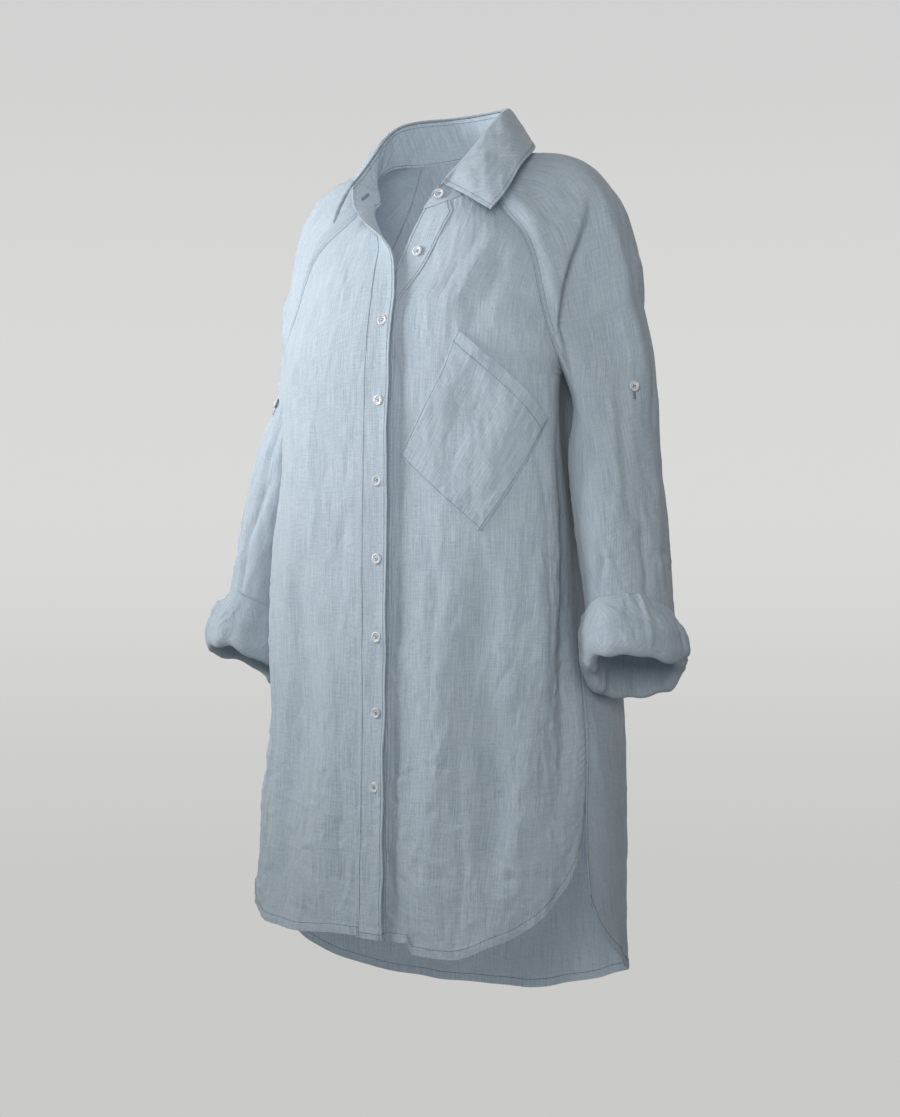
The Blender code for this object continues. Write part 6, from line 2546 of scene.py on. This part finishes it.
def sleeve_relief(folds: tuple[Crease, ...], seed: int) -> Relief:
    """A sleeve's folds with its own small creases.

    Args:
        folds: The folds.
        seed: The first of its seeds.

    Returns:
        The relief.
    """
    crumples = (
        Crumple(seed, 70, (-0.04, 0.34), (0.12, 0.31), 0.0011, (0.014, 0.05), (0.003, 0.006), (-45, 45)),
        Crumple(seed + 1, 70, (0.0, 0.34), (-0.04, 0.26), 0.001, (0.03, 0.09), (0.003, 0.007), (74, 106)),
        Crumple(seed + 2, 60, (0.01, 0.17), (-0.23, -0.02), 0.0007, (0.024, 0.08), (0.003, 0.006), (70, 112)),
    )
    swells = (Swell(seed + 3, 0.0011, 0.06, 3.0), Swell(seed + 4, 0.0003, 0.016, 2.4))
    return Relief(folds, crumples, swells)


def roll_relief(seed: int) -> Relief:
    """A rolled cuff's pleat and diagonal creases.

    Args:
        seed: The first of its seeds.

    Returns:
        The relief.
    """
    folds = (
        Pleat((0.051, 0.018), (0.044, -0.044), 0.018, 0.0058),
        Crease((0.028, -0.030), (0.040, 0.016), 0.004, -0.0022, 0.05, 0.5),
        Crease((0.088, -0.030), (0.098, 0.016), 0.004, -0.0024, 0.05, 0.6),
        Crease((0.096, 0.024), (0.120, 0.004), 0.003, -0.0030, 0.05, 0.6),
        Crease((0.112, 0.020), (0.130, -0.020), 0.003, -0.0024, 0.05, 0.6),
    )
    crumples = (
        Crumple(seed, 54, (0.0, 0.35), (-0.034, 0.016), 0.0016, (0.02, 0.05), (0.0022, 0.004), (35, 80), 0.9),
        Crumple(seed + 1, 22, (0.0, 0.35), (-0.03, 0.01), 0.0009, (0.02, 0.05), (0.0022, 0.004), (-20, 20)),
    )
    return Relief(folds, crumples, (Swell(seed + 2, 0.0005, 0.03),))


# The turned layers that show in a cuff's mouth, by the way round and down.
MOUTH_RELIEF = Relief(
    folds=(
        Pleat((0.166, -0.010), (0.158, 0.030), 0.018, 0.0032),
        Pleat((0.262, 0.030), (0.268, -0.010), 0.020, 0.0036),
        Pleat((0.300, 0.030), (0.306, -0.010), 0.014, 0.0026),
        Crease((0.216, -0.010), (0.208, 0.030), 0.008, -0.0022, 0.05, 0.5),
    ),
    crumples=(
        Crumple(91, 24, (0.0, 0.35), (-0.005, 0.022), 0.0008, (0.012, 0.03), (0.003, 0.005), (60, 120)),
    ),
)
# Where each cuff's lip and its top edge hang lower or higher.
# Columns: turn and reach in degrees, distance down.
CUFF_SAGS = {
    Side.LEFT: (
        ((215.0, 48.0, 0.0070), (264.0, 32.0, 0.0110), (128.0, 30.0, -0.0065)),
        ((120.0, 34.0, 0.0105), (322.0, 26.0, 0.0050)),
    ),
    Side.RIGHT: (
        ((60.0, 60.0, 0.0055), (175.0, 40.0, 0.0120)),
        ((85.0, 48.0, 0.0190), (322.0, 26.0, 0.0040)),
    ),
}
STAND_RELIEF = Relief(
    crumples=(
        Crumple(61, 50, (0.0, 0.47), (0.004, 0.036), 0.0009, (0.012, 0.03), (0.0025, 0.005), (60, 120)),
    ),
    swells=(Swell(62, 0.0008, 0.06),),
)
FALL_RELIEF = Relief(
    folds=(
        Crease((0.030, 0.010), (0.014, 0.050), 0.010, 0.0006, 0.05),
        Crease((0.060, 0.012), (0.070, 0.060), 0.012, -0.0007, 0.04),
    ),
    crumples=(
        Crumple(65, 50, (0.0, 0.47), (0.008, 0.06), 0.0003, (0.015, 0.04), (0.003, 0.007), (30, 150)),
    ),
    swells=(Swell(66, 0.001, 0.07),),
)
POCKET_RELIEF = Relief(
    folds=(
        Crease((0.030, 0.000), (0.070, 0.130), 0.016, -0.0030, 0.05),
        Crease((0.070, 0.010), (0.100, 0.110), 0.014, 0.0022, -0.04),
    ),
    crumples=(
        Crumple(71, 34, (0.0, 0.126), (0.0, 0.135), 0.0004, (0.012, 0.04), (0.003, 0.007), (20, 120)),
    ),
    swells=(Swell(72, 0.0006, 0.06),),
)


# ---------------------------------------------------------------- stage, light and camera


@dataclass(frozen=True)
class Studio:
    """A seamless pale bowl that lights the garment evenly, three soft lights and the photo's camera."""

    floor_z: float = -1.6
    flat_radius: float = 3.4
    wall_radius: float = 9.0
    wall_height: float = 9.0
    sides: int = 64
    pale_top_z: float = 3.0
    azimuth: float = 33.0
    distance: float = 2.5
    aim_z: float = -0.43
    pixel: float = 0.001095
    image_height: int = 1117
    sensor: float = 36.0
    # How bright the paper looks to the viewer, and how much light it gives.
    glow: float = 0.70
    ambient: float = 0.33
    # Columns: name, place, height of the aim, size, spread in degrees, power in watts.
    lights: tuple[tuple, ...] = (
        ("key", (-1.06, -0.71, 0.10), -0.10, 0.6, 82.0, 4.9),
        ("front", (0.76, -1.48, -0.02), -0.20, 0.6, 100.0, 4.5),
        ("behind", (-0.50, 1.60, 0.30), -0.30, 0.9, 100.0, 3.4),
    )

    def bowl(self) -> Object:
        """The floor, which rises to a wall without an edge.

        Returns:
            The bowl.
        """
        bend = self.wall_radius - self.flat_radius
        angles = np.linspace(0.0, 1.0, 24)[1:] * math.pi / 2.0
        radii = [1.0, self.flat_radius, *(self.flat_radius + bend * np.sin(angles)), self.wall_radius]
        heights = [0.0, 0.0, *(bend * (1.0 - np.cos(angles)))]
        heights.append(heights[-1] + self.wall_height)
        turns = [2.0 * math.pi * k / self.sides for k in range(self.sides)]
        points = []
        for radius, height in zip(radii, heights):
            points += [(radius * math.cos(t), radius * math.sin(t), self.floor_z + height) for t in turns]
        faces = [tuple(range(self.sides))]
        for first in range(0, (len(radii) - 1) * self.sides, self.sides):
            for k in range(self.sides):
                after = (k + 1) % self.sides
                upper = first + self.sides
                faces.append((first + k, first + after, upper + after, upper + k))
        obj = new_object("stage_bowl", points, [], faces, self.paper())
        obj.data.shade_smooth()
        return obj

    def paper(self) -> Material:
        """Pale paper that glows evenly, a little less towards the floor and high on the wall.

        Returns:
            The material, which lights the scene less than it shines towards the viewer.
        """
        constants = {"Base Color": (0.0, 0.0, 0.0, 1.0), "Roughness": 1.0, "Specular IOR Level": 0.0}
        material, wiring, shader = new_finish("pale_paper", constants)
        place = wiring.add("ShaderNodeTexCoord").outputs["Object"]
        height = wiring.add("ShaderNodeSeparateXYZ", {"Vector": place}).outputs["Z"]
        span = {"Value": height, "From Min": self.floor_z, "From Max": self.pale_top_z}
        rise = wiring.add("ShaderNodeMapRange", span).outputs["Result"]
        ramp = wiring.add("ShaderNodeValToRGB", {"Fac": rise})
        tones = ramp.color_ramp
        tones.interpolation = "EASE"
        tones.elements[0].color = (0.84, 0.84, 0.83, 1.0)
        tones.elements[1].color = (0.90, 0.90, 0.90, 1.0)
        tones.elements.new(0.30).color = (1.0, 1.0, 0.985, 1.0)
        wiring.feed(shader["Emission Color"], ramp.outputs["Color"])
        seen = wiring.add("ShaderNodeLightPath").outputs["Is Camera Ray"]
        glow = {"Value": seen, "To Min": self.ambient, "To Max": self.glow}
        wiring.feed(shader["Emission Strength"], wiring.add("ShaderNodeMapRange", glow).outputs["Result"])
        return material

    def light(
        self, name: str, place: tuple, aim_z: float, size: float, spread: float, power: float
    ) -> Object:
        """One soft square light.

        Args:
            name: Its name.
            place: Where it stands.
            aim_z: The height of the point on the garment's middle line that it faces.
            size: The length of its sides.
            spread: How wide it shines, in degrees.
            power: Its power in watts.

        Returns:
            The light.
        """
        data = bpy.data.lights.new(name, "AREA")
        data.size = size
        data.energy = power
        data.spread = math.radians(spread)
        obj = bpy.data.objects.new(name, data)
        obj.location = place
        aim = Vector((0.0, 0.0, aim_z)) - Vector(place)
        obj.rotation_euler = aim.to_track_quat("-Z", "Y").to_euler()
        bpy.context.scene.collection.objects.link(obj)
        return obj

    def build(self) -> None:
        """Sets up the stage, the lights, the world and the camera."""
        scene = bpy.context.scene
        scene.view_settings.view_transform = "Standard"
        scene.world = bpy.data.worlds.new("studio")
        scene.world.use_nodes = True
        background = scene.world.node_tree.nodes["Background"].inputs
        background["Color"].default_value = (1.0, 1.0, 1.0, 1.0)
        background["Strength"].default_value = self.ambient
        self.bowl()
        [self.light(*row) for row in self.lights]
        azimuth = math.radians(self.azimuth)
        data = bpy.data.cameras.new("photo_camera")
        data.sensor_width = self.sensor
        data.lens = self.sensor * self.distance / (self.image_height * self.pixel)
        data.clip_end = 100.0
        camera = bpy.data.objects.new("photo_camera", data)
        away = (math.sin(azimuth) * self.distance, -math.cos(azimuth) * self.distance)
        camera.location = (*away, self.aim_z)
        camera.rotation_euler = (math.radians(90.0), 0.0, azimuth)
        scene.collection.objects.link(camera)
        scene.camera = camera


def main() -> None:
    """Builds every piece of the shirt in order, then the studio."""
    logging.basicConfig(level=logging.INFO, format="%(name)s: %(message)s")
    weave = weave_group()
    linen = LinenFinish("pale_blue_linen").material(weave)
    # The inner faces glow a little in the cloth's colour: painted light in place of light shining through the
    # cloth into the shirt.
    inside = LinenFinish("linen_inside", through=0.21).material(weave)
    pearl, thread = PEARL.material(), THREAD.material()
    bench = Bench(linen, inside, thread, stitch_tree())
    left = Front(Side.LEFT, LEFT_HEM, ("left end", "left raglan"), LEFT_FRONT_RELIEF)
    right = Front(Side.RIGHT, RIGHT_HEM, ("right end", "right raglan"), RIGHT_FRONT_RELIEF)
    carriers = [front.build(bench)[0].points for front in (left, right)]
    carriers.append(Back(BACK_RELIEF).build(bench).points)
    front_buttons, sleeve_buttons = ButtonSet(), ButtonSet()
    holes = Sewing(pitch=0.0007, length=0.0014, thickness=0.00024)
    for side, seed in ((Side.LEFT, 41), (Side.RIGHT, 51)):
        sleeve = Sleeve(side, sleeve_relief(SLEEVE_FOLDS[side], seed))
        head = sleeve.build(bench, sleeve_buttons, holes)[1].points
        carriers.append(head if side is Side.LEFT else head[:, ::-1])
        Cuff(sleeve, roll_relief(seed + 40), seed + 5, *CUFF_SAGS[side]).build(bench)
    Pocket(left, POCKET_RELIEF).build(bench)
    Collar(STAND_RELIEF, FALL_RELIEF).build(bench, carriers, front_buttons, holes)
    point, outward = left.spot(*OPEN_BUTTON)
    front_buttons.sew(point + outward * FRONT_BUTTON_LIFT, outward)
    for height in FRONT_BUTTON_HEIGHTS:
        point, outward = right.spot(FRONT_BUTTON_ACROSS, height)
        front_buttons.sew(point + outward * FRONT_BUTTON_LIFT, outward)
        down = unit(np.cross(outward, (1.0, 0.0, 0.0)))
        holes.run(*buttonhole(point, down, outward, FRONT_HOLE_HALF))
    bench.sewn(holes, "buttonholes")
    numbers = [f"button_{number}" for number in range(1, 10)]
    bench.buttons(front_buttons.build("front_buttons", pearl, thread), numbers)
    sides = ["sleeve_button_left", "sleeve_button_right"]
    bench.buttons(sleeve_buttons.build("sleeve_buttons", pearl, thread), sides)
    Studio().build()


if __name__ == "__main__":
    main()
